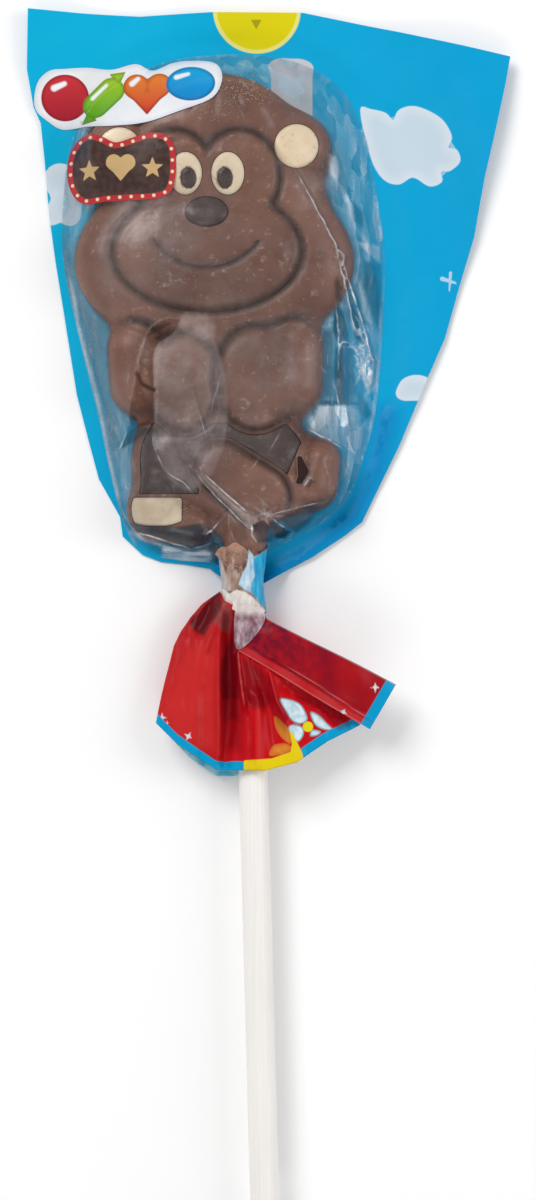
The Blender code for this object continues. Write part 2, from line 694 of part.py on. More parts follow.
def make_flap():
    """The bag's folded corner, a flat strip that leaves the neck to the lower right."""
    steps, rows = 8, 4
    corners = np.array([*FLAP_ROOT, *FLAP_END], float)
    upper, lower = [], []
    for k in range(steps + 1):
        along = k / steps
        for j in range(rows + 1):
            across = j / rows
            near = corners[0] * (1 - across) + corners[1] * across
            far = corners[2] * (1 - across) + corners[3] * across
            x, y = near * (1 - along) + far * along
            crown = FLAP_CROWN * 4 * across * (1 - across)
            arch = FLAP_ARCH * math.sin(math.pi * along) * (1 - across)
            z = FLAP_ROOT_Z + (FLAP_END_Z - FLAP_ROOT_Z) * along + crown + arch
            upper.append((x, y, z + FLAP_THICKNESS))
            lower.append((x, y, z))
    count, width = len(upper), rows + 1
    faces = []
    for k in range(steps):
        for j in range(rows):
            a, b = k * width + j, (k + 1) * width + j
            faces += [(a, a + 1, b + 1, b), (a + count, b + count, b + 1 + count, a + 1 + count)]
    for k in range(steps):
        for j, turn in ((0, 1), (rows, -1)):
            a, b = k * width + j, (k + 1) * width + j
            faces.append((a, b, b + count, a + count)[::turn])
    for j in range(rows):
        for k, turn in ((0, -1), (steps, 1)):
            a, b = k * width + j, k * width + j + 1
            faces.append((a, b, b + count, a + count)[::turn])
    return solid("flap", upper + lower, faces, "printed_film")


def union(piece, helpers):
    """Joins the helpers to the piece by one Boolean union, applies it and removes them."""
    group = bpy.data.collections.new("joined_film")
    bpy.context.scene.collection.children.link(group)
    for helper in helpers:
        bpy.context.scene.collection.objects.unlink(helper)
        group.objects.link(helper)
    boolean = piece.modifiers.new("join", "BOOLEAN")
    boolean.operation = "UNION"
    boolean.solver = "EXACT"
    boolean.operand_type = "COLLECTION"
    boolean.collection = group
    bpy.context.view_layer.update()
    graph = bpy.context.evaluated_depsgraph_get()
    whole = bpy.data.meshes.new_from_object(piece.evaluated_get(graph))
    piece.modifiers.clear()
    piece.data = whole
    for helper in helpers:
        bpy.data.objects.remove(helper)
    bpy.data.collections.remove(group)


def main():
    for left_over in list(bpy.data.objects):
        bpy.data.objects.remove(left_over)
    figure = make_figure()
    make_inlays(figure)
    make_stick(figure)
    make_pouch()
    union(make_panel(), [make_gathers(), make_flap()])


main()
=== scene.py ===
"""Looks of the wrapped chocolate lollipop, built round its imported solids.

+X is to the right of the shown side, +Y runs from the stick's free end to the top of the bag, and +Z is up.
Sizes are in millimetres until a mesh is made from them, and in metres from there on.
"""

import json
import math

import bpy
import numpy as np
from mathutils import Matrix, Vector, noise
from mathutils.geometry import delaunay_2d_cdt
from mathutils.kdtree import KDTree

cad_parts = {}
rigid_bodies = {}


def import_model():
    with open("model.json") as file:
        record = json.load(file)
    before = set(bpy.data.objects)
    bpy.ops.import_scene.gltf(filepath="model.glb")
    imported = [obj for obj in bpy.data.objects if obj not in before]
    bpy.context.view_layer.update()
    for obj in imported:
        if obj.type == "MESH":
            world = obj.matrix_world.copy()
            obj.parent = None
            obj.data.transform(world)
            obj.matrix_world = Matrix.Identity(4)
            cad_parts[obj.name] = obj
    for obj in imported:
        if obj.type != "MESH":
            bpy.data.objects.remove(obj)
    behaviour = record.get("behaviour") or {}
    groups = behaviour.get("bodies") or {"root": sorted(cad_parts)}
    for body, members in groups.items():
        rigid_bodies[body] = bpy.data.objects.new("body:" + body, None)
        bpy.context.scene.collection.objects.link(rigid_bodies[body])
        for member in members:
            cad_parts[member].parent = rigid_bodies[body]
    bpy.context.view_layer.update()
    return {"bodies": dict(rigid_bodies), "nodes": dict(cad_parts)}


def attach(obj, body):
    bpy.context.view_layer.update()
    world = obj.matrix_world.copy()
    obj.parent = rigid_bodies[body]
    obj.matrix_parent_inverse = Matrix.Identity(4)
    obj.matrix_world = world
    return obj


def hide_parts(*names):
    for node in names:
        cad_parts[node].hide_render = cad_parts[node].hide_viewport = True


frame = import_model()
LOLLIPOP = next(iter(frame["bodies"]))

# 1. The chocolate figure
# A flat-backed monkey of milk chocolate, cast in an open mould round the end of the stick. The mould gives
# its front soft swellings, pressed-in outlines and a dull sheen, and the bag has scuffed it.

MM = 0.001
FIGURE_BACK = 0.6
SIDE_TOP = 3.6  # height of the outline's edge, from which the face swells
CHIN = (-8.3, 43.2)
FACE_SIDE = -1.2  # the face is turned a little to the left of the head's middle
FILLET = 2.6
ARM_FILLET = 2.4
FAR_AWAY = 9.0  # stands for a distance at which a line or a print has no effect


def ellipse(centre, radii):
    """Distance to an ellipse: below zero inside, above zero outside."""

    def distance(x, y):
        across, along = (x - centre[0]) / radii[0], (y - centre[1]) / radii[1]
        size = np.hypot(across, along)
        slope = np.hypot(across / radii[0], along / radii[1])
        scale = np.where(slope > 1e-6, size / np.maximum(slope, 1e-6), min(radii))
        return scale * (size - 1.0)

    return distance


def limb(start, end, start_radius, end_radius):
    """Distance to a rounded bar whose radius changes from one end to the other."""
    run = np.subtract(end, start)
    length_squared = float(run @ run)

    def distance(x, y):
        from_start = (x - start[0]) * run[0] + (y - start[1]) * run[1]
        share = np.clip(from_start / length_squared, 0.0, 1.0)
        gap = np.hypot(x - start[0] - share * run[0], y - start[1] - share * run[1])
        return gap - start_radius - share * (end_radius - start_radius)

    return distance


def block(centre, half, radius):
    """Distance to a rectangle with round corners."""

    def distance(x, y):
        across = np.abs(x - centre[0]) - half[0] + radius
        along = np.abs(y - centre[1]) - half[1] + radius
        beyond = np.hypot(np.maximum(across, 0.0), np.maximum(along, 0.0))
        return beyond + np.minimum(np.maximum(across, along), 0.0) - radius

    return distance


def polygon(points):
    """Distance to a closed outline of straight sides."""
    corners = [np.array(p, float) for p in points]

    def distance(x, y):
        nearest = np.full(np.shape(x), 1e9)
        inside = np.zeros(np.shape(x), bool)
        for a, b in zip(corners, corners[1:] + corners[:1]):
            run = b - a
            share = np.clip(((x - a[0]) * run[0] + (y - a[1]) * run[1]) / (run @ run), 0.0, 1.0)
            nearest = np.minimum(nearest, np.hypot(x - a[0] - share * run[0], y - a[1] - share * run[1]))
            if a[1] != b[1]:
                spans = (a[1] > y) != (b[1] > y)
                inside ^= spans & (x < a[0] + run[0] * (y - a[1]) / run[1])
        return np.where(inside, -nearest, nearest)

    return distance


def stroke(points):
    """Distance to an open line through these points."""
    legs = [limb(a, b, 0.0, 0.0) for a, b in zip(points, points[1:])]
    return lambda x, y: np.minimum.reduce([leg(x, y) for leg in legs])


def joined(fillet, *fields):
    """The outlines made one, with their inner corners filled to this radius."""

    def distance(x, y):
        whole = fields[0](x, y)
        for field in fields[1:]:
            other = field(x, y)
            share = np.clip(0.5 + 0.5 * (other - whole) / fillet, 0.0, 1.0)
            whole = other * (1 - share) + whole * share - fillet * share * (1 - share)
        return whole

    return distance


def grown(field, by):
    """The outline moved outward by this much."""
    return lambda x, y: field(x, y) - by


def common(*fields):
    """Distance to what the outlines share."""
    return lambda x, y: np.maximum.reduce([field(x, y) for field in fields])


def outside(field, gap=0.0):
    """Distance to all that lies at least this far outside the outline."""
    return lambda x, y: gap - field(x, y)


def from_chin(right, up):
    """A place given from the figure's chin."""
    return (CHIN[0] + right, CHIN[1] + up)


ear_centres = {"left": from_chin(-14.6, 26.6), "right": from_chin(12.6, 27.1)}
cranium = ellipse(from_chin(0.2, 19.2), (17.0, 19.4))
cheeks = ellipse(from_chin(-0.1, 9.6), (21.6, 14.5))
ears = [ellipse(centre, (5.4, 5.4)) for centre in ear_centres.values()]
torso = ellipse(from_chin(0.3, -8.0), (14.2, 12.0))
hips = ellipse(from_chin(1.4, -20.5), (13.8, 9.0))
left_elbow = limb(from_chin(-12.4, -4.0), from_chin(-12.2, -9.8), 4.3, 4.1)
right_elbow = limb(from_chin(12.5, -3.6), from_chin(12.4, -9.6), 4.4, 4.3)
left_arm = joined(ARM_FILLET, left_elbow, ellipse(from_chin(-4.7, -9.2), (5.5, 7.6)))
right_arm = joined(ARM_FILLET, right_elbow, ellipse(from_chin(6.3, -8.5), (6.4, 8.0)))
left_leg = limb(from_chin(-7.6, -19.0), from_chin(-8.9, -28.0), 4.2, 4.3)
left_foot = limb(from_chin(-9.0, -29.5), from_chin(-3.8, -30.8), 3.9, 3.5)
right_shin = limb(from_chin(16.2, -20.8), from_chin(15.2, -24.9), 3.2, 3.9)
seat = ellipse(from_chin(4.6, -25.2), (11.6, 5.8))
right_foot = limb(from_chin(0.9, -22.2), from_chin(7.0, -26.8), 3.9, 4.6)
stem = limb(from_chin(4.0, -28.0), from_chin(4.7, -33.9), 3.7, 3.3)
figure_outline = joined(
    FILLET, cranium, cheeks, *ears, torso, hips, left_arm, right_arm, left_leg, left_foot, right_shin, seat,
    stem,
)
face_plate = joined(
    0.9,
    ellipse(from_chin(FACE_SIDE - 5.0, 22.4), (6.3, 7.2)),
    ellipse(from_chin(FACE_SIDE + 5.0, 22.4), (6.3, 7.2)),
    ellipse(from_chin(FACE_SIDE, 11.0), (14.6, 9.4)),
)
muzzle = ellipse(from_chin(FACE_SIDE, 10.4), (12.6, 7.6))
smile_arc = ellipse(from_chin(FACE_SIDE, 16.4), (9.2, 8.0))
SMILE_TOP = CHIN[1] + 12.6

# The swellings that make the outline, with the height of each above the table and how wide it rounds over
masses = [
    (figure_outline, 6.6, 4.2),
    (cranium, 8.7, 7.5),
    (cheeks, 8.7, 7.0),
    *[(ear, 7.9, 2.4) for ear in ears],
    (torso, 7.9, 6.0),
    (hips, 8.9, 5.5),
    (left_leg, 8.4, 4.2),
    (left_foot, 7.4, 3.2),
    (right_shin, 8.2, 3.8),
    (seat, 8.3, 5.0),
    (stem, 7.7, 3.2),
]
# The reliefs that stand on them
reliefs = [
    (face_plate, 0.7, 1.0),
    (muzzle, 1.1, 7.0),
    (left_arm, 1.5, 3.6),
    (right_arm, 1.5, 3.8),
    (right_foot, 1.1, 2.8),
    (right_shin, 0.6, 2.6),
]
# The lines pressed into the front, with depth and half width
pressed = [
    (lambda x, y: np.abs(face_plate(x, y)), 0.75, 0.62),
    (lambda x, y: np.where(y < SMILE_TOP, np.abs(smile_arc(x, y)), FAR_AWAY), 0.6, 0.45),
    (lambda x, y: np.abs(left_arm(x, y)), 0.7, 0.6),
    (lambda x, y: np.abs(right_arm(x, y)), 0.7, 0.6),
    (lambda x, y: np.abs(right_foot(x, y)), 0.6, 0.5),
]
# Fingers, toes, brows, a tuft of hair and two folds at the hips: start and end from the chin, depth and
# half width
fine_pressed = [
    ((-7.0, -13.6), (-7.3, -16.6), 0.34, 0.30),
    ((-4.7, -13.9), (-4.8, -17.0), 0.34, 0.30),
    ((-2.4, -13.5), (-2.2, -16.4), 0.34, 0.30),
    ((3.4, -13.2), (3.1, -16.2), 0.34, 0.30),
    ((6.0, -13.5), (6.0, -16.7), 0.34, 0.30),
    ((8.6, -13.1), (8.9, -16.0), 0.34, 0.30),
    ((8.9, -26.0), (11.1, -26.9), 0.32, 0.28),
    ((8.4, -27.4), (10.2, -29.0), 0.32, 0.28),
    ((7.1, -28.3), (8.0, -30.4), 0.32, 0.28),
    ((-8.8, 27.3), (-4.4, 28.1), 0.30, 0.40),
    ((2.0, 28.1), (6.4, 27.3), 0.30, 0.40),
    ((-2.4, 37.2), (-3.8, 33.0), 0.36, 0.38),
    ((0.2, 37.6), (0.0, 32.4), 0.36, 0.38),
    ((2.8, 37.2), (4.0, 33.4), 0.36, 0.38),
    ((-8.8, -22.4), (-5.2, -23.0), 0.20, 0.40),
    ((3.0, -19.2), (8.6, -20.2), 0.20, 0.45),
]


def dome(depth, shoulder):
    """From 0 at an outline to 1 at this depth inside it, as a quarter round."""
    share = np.clip(depth / shoulder, 0.0, 1.0)
    return np.sqrt(1.0 - (1.0 - share) ** 2)


def smooth_step(low, high, value):
    """From 0 at low to 1 at high, with a soft start and end."""
    share = np.clip((value - low) / (high - low), 0.0, 1.0)
    return share * share * (3 - 2 * share)


def uneven(x, y, size, turn=0.0):
    """Smooth random values from -1 to 1 that change over this distance."""
    flat = [noise.noise(Vector((a / size, b / size, turn))) for a, b in zip(np.ravel(x), np.ravel(y))]
    return np.array(flat).reshape(np.shape(x))


def painted_groove_shade(x, y):
    """Painted shade for the pressed lines: 1 in them and 0 away from them."""
    inner = np.clip(-figure_outline(x, y) / 2.0, 0.0, 1.0)
    lines = [inner * np.exp(-((line(x, y) / (1.3 * width)) ** 2)) for line, _, width in pressed]
    return np.maximum.reduce(lines)


def chocolate_front(x, y):
    """Height of the chocolate's face above the table."""
    height = np.full(np.shape(x), SIDE_TOP)
    for mass, top, shoulder in masses:
        height = np.maximum(height, SIDE_TOP + (top - SIDE_TOP) * dome(-mass(x, y), shoulder))
    for relief, rise, shoulder in reliefs:
        height = height + rise * dome(-relief(x, y), shoulder)
    inner = np.clip(-figure_outline(x, y) / 2.0, 0.0, 1.0)
    for line, depth, width in pressed:
        height = height - inner * depth * np.exp(-((line(x, y) / width) ** 2))
    for start, end, depth, width in fine_pressed:
        line = stroke([from_chin(*start), from_chin(*end)])
        height = height - inner * depth * np.exp(-((line(x, y) / width) ** 2))
    return height


def contour(field, level=0.0, step=0.3, low=(-40.0, -2.0), high=(24.0, 92.0)):
    """The longest closed line on which a distance function has this level, by marching squares."""
    xs, ys = np.arange(low[0], high[0], step), np.arange(low[1], high[1], step)
    values = field(*np.meshgrid(xs, ys, indexing="ij")) - level
    inside = values < 0
    corner_count = inside[:-1, :-1] * 1 + inside[1:, :-1] + inside[1:, 1:] + inside[:-1, 1:]
    links = {}
    for i, j in zip(*np.nonzero((corner_count > 0) & (corner_count < 4))):
        cell = [(i, j), (i + 1, j), (i + 1, j + 1), (i, j + 1)]
        sides = zip(cell, cell[1:] + cell[:1])
        cuts = [tuple(sorted(side)) for side in sides if inside[side[0]] != inside[side[1]]]
        for one, other in zip(cuts[::2], cuts[1::2]):
            links.setdefault(one, []).append(other)
            links.setdefault(other, []).append(one)
    loops = []
    while links:
        cut = next(iter(links))
        loop = []
        while cut in links:
            loop.append(cut)
            ahead = [n for n in links.pop(cut) if n in links]
            cut = ahead[0] if ahead else None
        loops.append(loop)
    points = []
    for a, b in max(loops, key=len):
        share = values[a] / (values[a] - values[b])
        points.append((xs[a[0]] + share * (xs[b[0]] - xs[a[0]]), ys[a[1]] + share * (ys[b[1]] - ys[a[1]])))
    return anticlockwise(points)


def anticlockwise(points):
    """The same closed line, turned round if it runs clockwise."""
    area = sum(a[0] * b[1] - b[0] * a[1] for a, b in zip(points, points[1:] + points[:1]))
    return list(points) if area > 0 else list(points)[::-1]


def evenly(points, spacing, closed=True):
    """The same line with points about this far apart."""
    line = np.array(points + points[:1] if closed else points, float)
    run = np.concatenate([[0.0], np.cumsum(np.hypot(*np.diff(line, axis=0).T))])
    count = max(3, round(run[-1] / spacing))
    at = np.linspace(0.0, run[-1], count + 1)[: count if closed else count + 1]
    return list(zip(np.interp(at, run, line[:, 0]), np.interp(at, run, line[:, 1])))


def kept_runs(points, keep):
    """The stretches of a closed line at which keep is true."""
    flags = keep(*np.array(points).T)
    if flags.all():
        return [points + points[:1]]
    first = int(np.argmin(flags))
    runs, run = [], []
    for k in range(first, first + len(points)):
        if flags[k % len(points)]:
            run.append(points[k % len(points)])
        elif run:
            runs.append(run)
            run = []
    return [r for r in runs + [run] if len(r) > 2]


def closed_ring(field, level, spacing, cell=0.3):
    """A contour with points about this far apart, that ends on its first point."""
    ring = evenly(contour(field, level, cell), spacing)
    return ring + ring[:1]


def filled(outline, lines, spacing):
    """Triangles inside the outline, with edges along the lines and points this far apart elsewhere."""
    points, edges = list(outline), [(k, (k + 1) % len(outline)) for k in range(len(outline))]
    for line in lines:
        edges += [(len(points) + k, len(points) + k + 1) for k in range(len(line) - 1)]
        points += line
    tree = KDTree(len(points))
    for k, (x, y) in enumerate(points):
        tree.insert((x, y, 0.0), k)
    tree.balance()
    (x0, y0), (x1, y1) = np.min(outline, axis=0), np.max(outline, axis=0)
    inside = polygon(outline)
    for row, y in enumerate(np.arange(y0, y1, spacing * math.sqrt(0.75))):
        xs = np.arange(x0 + (row % 2) * spacing / 2, x1, spacing)
        depths = -inside(xs, np.full(xs.shape, y))
        for x, depth in zip(xs, depths):
            if depth > 0.5 * spacing and tree.find((x, y, 0.0))[2] > 0.62 * spacing:
                points.append((x, y))
    done = delaunay_2d_cdt([Vector(p) for p in points], edges, [], 1, 1e-5, False)
    flat, triangles = np.array([tuple(p) for p in done[0]]), np.array(done[2])
    in_outline = inside(*flat[triangles].mean(axis=1).T) < 0.0
    return flat, [tuple(t) for t in triangles[in_outline]]


def rim_of(triangles):
    """The outer edge of a sheet of triangles, as one loop of point numbers."""
    sides = {(t[k], t[(k + 1) % 3]) for t in triangles for k in range(3)}
    following = {a: b for a, b in sides if (b, a) not in sides}
    loop = [next(iter(following))]
    while following[loop[-1]] != loop[0]:
        loop.append(following[loop[-1]])
    return loop


def piece(name, points, faces, finish, sharp=50):
    """An object of the lollipop with these points in millimetres, shaded smooth but for its sharp edges."""
    mesh = bpy.data.meshes.new(name)
    places = [tuple(p) for p in np.asarray(points) * MM]
    mesh.from_pydata(places, [], [tuple(int(k) for k in face) for face in faces])
    mesh.materials.append(finish)
    mesh.shade_smooth()
    mesh.set_sharp_from_angle(angle=math.radians(sharp))
    made = bpy.data.objects.new(name, mesh)
    bpy.context.scene.collection.objects.link(made)
    return made


def slab(name, outline, top, bottom, finish, lines=(), spacing=0.5):
    """A closed solid between two heights, each a function of X and Y, or a number for a flat bottom."""
    flat_points, triangles = filled(outline, lines, spacing)
    x, y = flat_points.T
    rim, count = rim_of(triangles), len(flat_points)
    upper = np.column_stack([x, y, top(x, y)])
    if callable(bottom):
        lower = np.column_stack([x, y, bottom(x, y)])
        base = [t[::-1] for t in ([k + count for k in tri] for tri in triangles)]
        below = {k: k + count for k in rim}
    else:
        lower = np.array([(x[k], y[k], bottom) for k in rim])
        below = {k: n + count for n, k in enumerate(rim)}
        base = [[below[k] for k in reversed(rim)]]
    walls = [(b, a, below[a], below[b]) for a, b in zip(rim, rim[1:] + rim[:1])]
    return piece(name, np.vstack([upper, lower]), list(triangles) + base + walls, finish)


def ring_faces(rows, sides):
    """Quads of a tube made of rings of points."""
    faces = []
    for r in range(rows - 1):
        for k in range(sides):
            n = (k + 1) % sides
            faces.append((r * sides + k, r * sides + n, (r + 1) * sides + n, (r + 1) * sides + k))
    return faces


def keep_value(made, name, values):
    """Stores one number per point of a piece, for its material to read."""
    made.data.attributes.new(name, "FLOAT", "POINT").data.foreach_set("value", np.asarray(values, np.float32))


def plan_of(made):
    """X and Y of a piece's points, in millimetres."""
    points = np.zeros(len(made.data.vertices) * 3)
    made.data.vertices.foreach_get("co", points)
    return points.reshape(-1, 3)[:, :2].T / MM


def new_finish(name):
    """A material, its node tree and its surface shader."""
    finish = bpy.data.materials.new(name)
    finish.use_nodes = True
    return finish, finish.node_tree, finish.node_tree.nodes["Principled BSDF"]


def step(tree, kind, sockets, **settings):
    """A shader node, its sockets set to numbers or linked to other nodes' outputs."""
    made = tree.nodes.new(f"ShaderNode{kind}")
    for name, value in settings.items():
        setattr(made, name, value)
    for name, value in sockets.items():
        if isinstance(value, bpy.types.NodeSocket):
            tree.links.new(value, made.inputs[name])
        else:
            made.inputs[name].default_value = value
    return made


def kept(tree, name):
    """The number that keep_value stored."""
    return step(tree, "Attribute", {}, attribute_name=name).outputs["Fac"]


def grain(tree, size, detail=3.0, stretch=(1.0, 1.0, 1.0), turn=0.0):
    """Random values round 0.5 that change over this many millimetres."""
    place = step(tree, "TexCoord", {}).outputs["Object"]
    placed = step(tree, "Mapping", {"Vector": place, "Scale": stretch, "Location": (turn, turn, turn)})
    sockets = {"Vector": placed.outputs[0], "Scale": 1000.0 / size, "Detail": detail}
    return step(tree, "TexNoise", sockets).outputs["Fac"]


def spread(tree, value, low, high, to_low=0.0, to_high=1.0):
    """Carries a range of values over to another, and stops at its ends."""
    sockets = {"Value": value, "From Min": low, "From Max": high, "To Min": to_low, "To Max": to_high}
    return step(tree, "MapRange", sockets).outputs["Result"]


def blended(tree, share, one, other, how="MIX"):
    """Two colours mixed; each is a socket or a triple."""
    one, other = [c if isinstance(c, bpy.types.NodeSocket) else (*c, 1.0) for c in (one, other)]
    made = step(tree, "Mix", {}, data_type="RGBA", blend_type=how)
    for socket, value in zip((made.inputs[0], made.inputs[6], made.inputs[7]), (share, one, other)):
        if isinstance(value, bpy.types.NodeSocket):
            tree.links.new(value, socket)
        else:
            socket.default_value = value
    return made.outputs[2]


def bumped(tree, shader, height, rise):
    """Small relief, up to this many millimetres high."""
    bump = step(tree, "Bump", {"Height": height, "Distance": rise * MM, "Strength": 1.0})
    tree.links.new(bump.outputs[0], shader.inputs["Normal"])


def chocolate(name, dark, light, scuff, line_shade, roughness):
    """Moulded chocolate: two tones that drift together, pale scuffs and specks, and painted shade in the
    pressed lines. Crumbs use that darkening for a random tone of each.
    """
    finish, tree, shader = new_finish(name)
    colour = blended(tree, spread(tree, grain(tree, 7.0, 4.0), 0.36, 0.64), dark, light)
    drift = spread(tree, grain(tree, 26.0, 2.0, turn=15.0), 0.35, 0.65, 0.75, 1.25)
    drift_grey = step(tree, "CombineXYZ", {"X": drift, "Y": drift, "Z": drift}).outputs[0]
    colour = blended(tree, 1.0, colour, drift_grey, "MULTIPLY")
    scuffs = spread(tree, grain(tree, 1.1, 5.0, turn=3.0), 0.61, 0.72, 0.0, 0.55)
    colour = blended(tree, scuffs, colour, scuff)
    specks = spread(tree, grain(tree, 0.45, 2.0, turn=7.0), 0.70, 0.76, 0.0, 0.5)
    colour = blended(tree, specks, colour, scuff)
    # painted shade in the pressed lines; for crumbs, a random darker tone
    line_shade_and_crumb_tone = spread(tree, kept(tree, "pressed"), 0.1, 1.0, 0.0, line_shade)
    colour = blended(tree, line_shade_and_crumb_tone, colour, (0.022, 0.016, 0.015))
    tree.links.new(colour, shader.inputs["Base Color"])
    gloss = spread(tree, grain(tree, 2.6, 4.0, turn=11.0), 0.35, 0.65, roughness - 0.07, roughness + 0.09)
    tree.links.new(gloss, shader.inputs["Roughness"])
    shader.inputs["Specular IOR Level"].default_value = 0.42
    bumped(tree, shader, grain(tree, 1.0, 2.0, turn=5.0), 0.08)
    return finish


SMOOTH_RINGS = (-0.15, -0.45, -0.9, -1.6, -2.5, -3.6)  # depths at which edges run along the rounded outline
GROOVE_RINGS = (-1.0, -0.5, 0.0, 0.5, 1.0)
PATCH_DEPTH = 0.9
PATCH_GAP = 0.1
EYE_SIDES = (("left", -1), ("right", 1))

waist, trouser_end = CHIN[1] - 15.4, CHIN[1] - 26.4
shorts_field = common(
    grown(figure_outline, -1.4),
    lambda x, y: y - waist,
    lambda x, y: trouser_end - y,
    outside(left_arm, 0.7),
    outside(right_arm, 0.7),
    outside(right_foot, 0.7),
    outside(right_shin, 0.4),
    outside(limb(from_chin(1.5, -25.6), from_chin(11.0, -29.0), 3.9, 4.2)),
)
eye_fields = {side: ellipse(from_chin(FACE_SIDE + s * 3.25, 22.8), (2.65, 3.4)) for side, s in EYE_SIDES}
patches = {
    **{f"ear_disc_{side}": ellipse(centre, (3.5, 3.5)) for side, centre in ear_centres.items()},
    **{f"eye_{side}": field for side, field in eye_fields.items()},
    "nose": ellipse(from_chin(FACE_SIDE, 16.9), (3.4, 2.4)),
    "shorts": shorts_field,
    "cuff": common(
        grown(figure_outline, -0.7), block(from_chin(-9.1, -29.1), (4.2, 2.3), 0.6),
        ellipse(from_chin(-9.1, -27.7), (6.5, 3.8)),
    ),
}


def recessed_front(x, y):
    """The front with a shallow bed for each patch of the other chocolates."""
    height = chocolate_front(x, y) + 0.035 * uneven(x, y, 2.4) + 0.05 * uneven(x, y, 6.0, 4.0)
    for patch in patches.values():
        height = height - PATCH_DEPTH * smooth_step(0.0, PATCH_GAP, -patch(x, y))
    return height


well_inside = lambda x, y: figure_outline(x, y) < SMOOTH_RINGS[-1] + 1.5
figure_lines = [closed_ring(figure_outline, level, 0.6) for level in SMOOTH_RINGS]
for field in (face_plate, left_arm, right_arm, right_foot):
    for level in GROOVE_RINGS:
        figure_lines += kept_runs(evenly(contour(field, level), 0.6), well_inside)
for level in (-0.6, 0.0, 0.6):
    figure_lines += kept_runs(evenly(contour(smile_arc, level), 0.6), lambda x, y: y < SMILE_TOP)
for patch in patches.values():
    figure_lines += [closed_ring(patch, level, 0.4, 0.2) for level in (0.0, -PATCH_GAP)]

milk = chocolate(
    "moulded_milk_chocolate", (0.118, 0.045, 0.026), (0.172, 0.073, 0.044), (0.36, 0.22, 0.16), 0.8, 0.44
)
figure = slab(
    "monkey_casting", evenly(contour(figure_outline), 0.6), recessed_front, FIGURE_BACK, milk, figure_lines
)
# the painted shade of the pressed lines
keep_value(figure, "pressed", painted_groove_shade(*plan_of(figure)))

STICK_RADIUS = 2.25
STICK_Z = 4.4
STICK_TOP = (-3.75, 25.5)
STICK_END = (-0.6, -92.0)
HOLE_GAP = 0.06
HOLE_SIDES = 48
UP = np.array([0.0, 0.0, 1.0])
hole_top = np.array([*STICK_TOP, STICK_Z])
hole_end = np.array([*STICK_END, STICK_Z])
hole_run = (hole_end - hole_top) / np.linalg.norm(hole_end - hole_top)
hole_across = np.cross(hole_run, UP)
hole_points = [
    at + (STICK_RADIUS + HOLE_GAP) * (math.cos(a) * hole_across + math.sin(a) * UP)
    for at in (hole_top - 0.2 * hole_run, hole_end)
    for a in np.arange(HOLE_SIDES) * 2 * math.pi / HOLE_SIDES
]
hole_faces = ring_faces(2, HOLE_SIDES)
hole_faces += [tuple(range(HOLE_SIDES))[::-1], tuple(range(HOLE_SIDES, 2 * HOLE_SIDES))]
stick_hole = piece("stick_hole", hole_points, hole_faces, milk)
boring = figure.modifiers.new("stick_hole", "BOOLEAN")
boring.operation = "DIFFERENCE"
boring.solver = "EXACT"
boring.object = stick_hole
bpy.context.view_layer.update()
bored = bpy.data.meshes.new_from_object(figure.evaluated_get(bpy.context.evaluated_depsgraph_get()))
figure.modifiers.clear()
figure.data = bored
bpy.data.objects.remove(stick_hole)
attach(figure, LOLLIPOP)
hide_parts("chocolate_figure")

# 2. White chocolate
# Ear discs, eyes and the trouser cuff are spots of white chocolate, dripped into the mould first and so
# cast flush into the milk chocolate, with a thin gap round each where the two met. The gap is darkened
# with painted shade.

# How far the middle of each patch stands above the milk chocolate, of this section's patches and the next's
patch_rises = {"ear_disc_left": 0.35, "ear_disc_right": 0.35, "cuff": 0.4, "nose": 1.0, "shorts": 0.2}
pupils = {side: ellipse(from_chin(FACE_SIDE + s * 2.8, 22.1), (1.25, 1.7)) for side, s in EYE_SIDES}


def patch_piece(name, field, finish, proud, rounding=1.2, spacing=0.4, front=chocolate_front):
    """A patch of another chocolate in its bed, its edge a hair inside the bed's."""
    outline = evenly(contour(field, -PATCH_GAP - 0.02, step=0.15), 0.4)
    lines = [closed_ring(field, level, 0.4, 0.15) for level in (-0.25, -0.5, -0.9)]

    def top(x, y):
        swell = proud * dome(-field(x, y) - PATCH_GAP, rounding)
        return front(x, y) + swell + 0.02 * uneven(x, y, 1.6, 9.0) - 0.06

    made = slab(name, outline, top, lambda x, y: front(x, y) - PATCH_DEPTH + 0.12, finish, lines, spacing)
    # a line of painted shade round the patch's edge
    keep_value(made, "pressed", 0.7 * np.exp(-(((field(*plan_of(made)) + PATCH_GAP) / 0.25) ** 2)))
    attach(made, LOLLIPOP)
    return made


def eye_level(side, x, y):
    """Height of the white of an eye, before its pupil's bed is pressed into it."""
    return chocolate_front(x, y) + 0.3 * dome(-eye_fields[side](x, y) - PATCH_GAP, 1.2)


white = chocolate(
    "white_chocolate_spots", (0.62, 0.49, 0.33), (0.73, 0.62, 0.46), (0.42, 0.27, 0.15), 0.35, 0.42
)
for node in ("ear_disc_left", "ear_disc_right", "cuff"):
    spot = patch_piece(f"{node}_spot", patches[node], white, patch_rises[node])
    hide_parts(node)
for side, pupil in pupils.items():
    bedded = lambda x, y: eye_level(side, x, y) - 0.35 * smooth_step(0.0, 0.08, -pupil(x, y))
    spot = patch_piece(f"eye_{side}_spot", eye_fields[side], white, 0.0, spacing=0.3, front=bedded)
    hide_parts(f"eye_{side}")

# 3. Dark chocolate
# Nose, pupils and shorts are dark chocolate, filled into the mould the same way. The shorts are the largest
# patch and follow the legs' swellings, with two shallow folds at the hip.

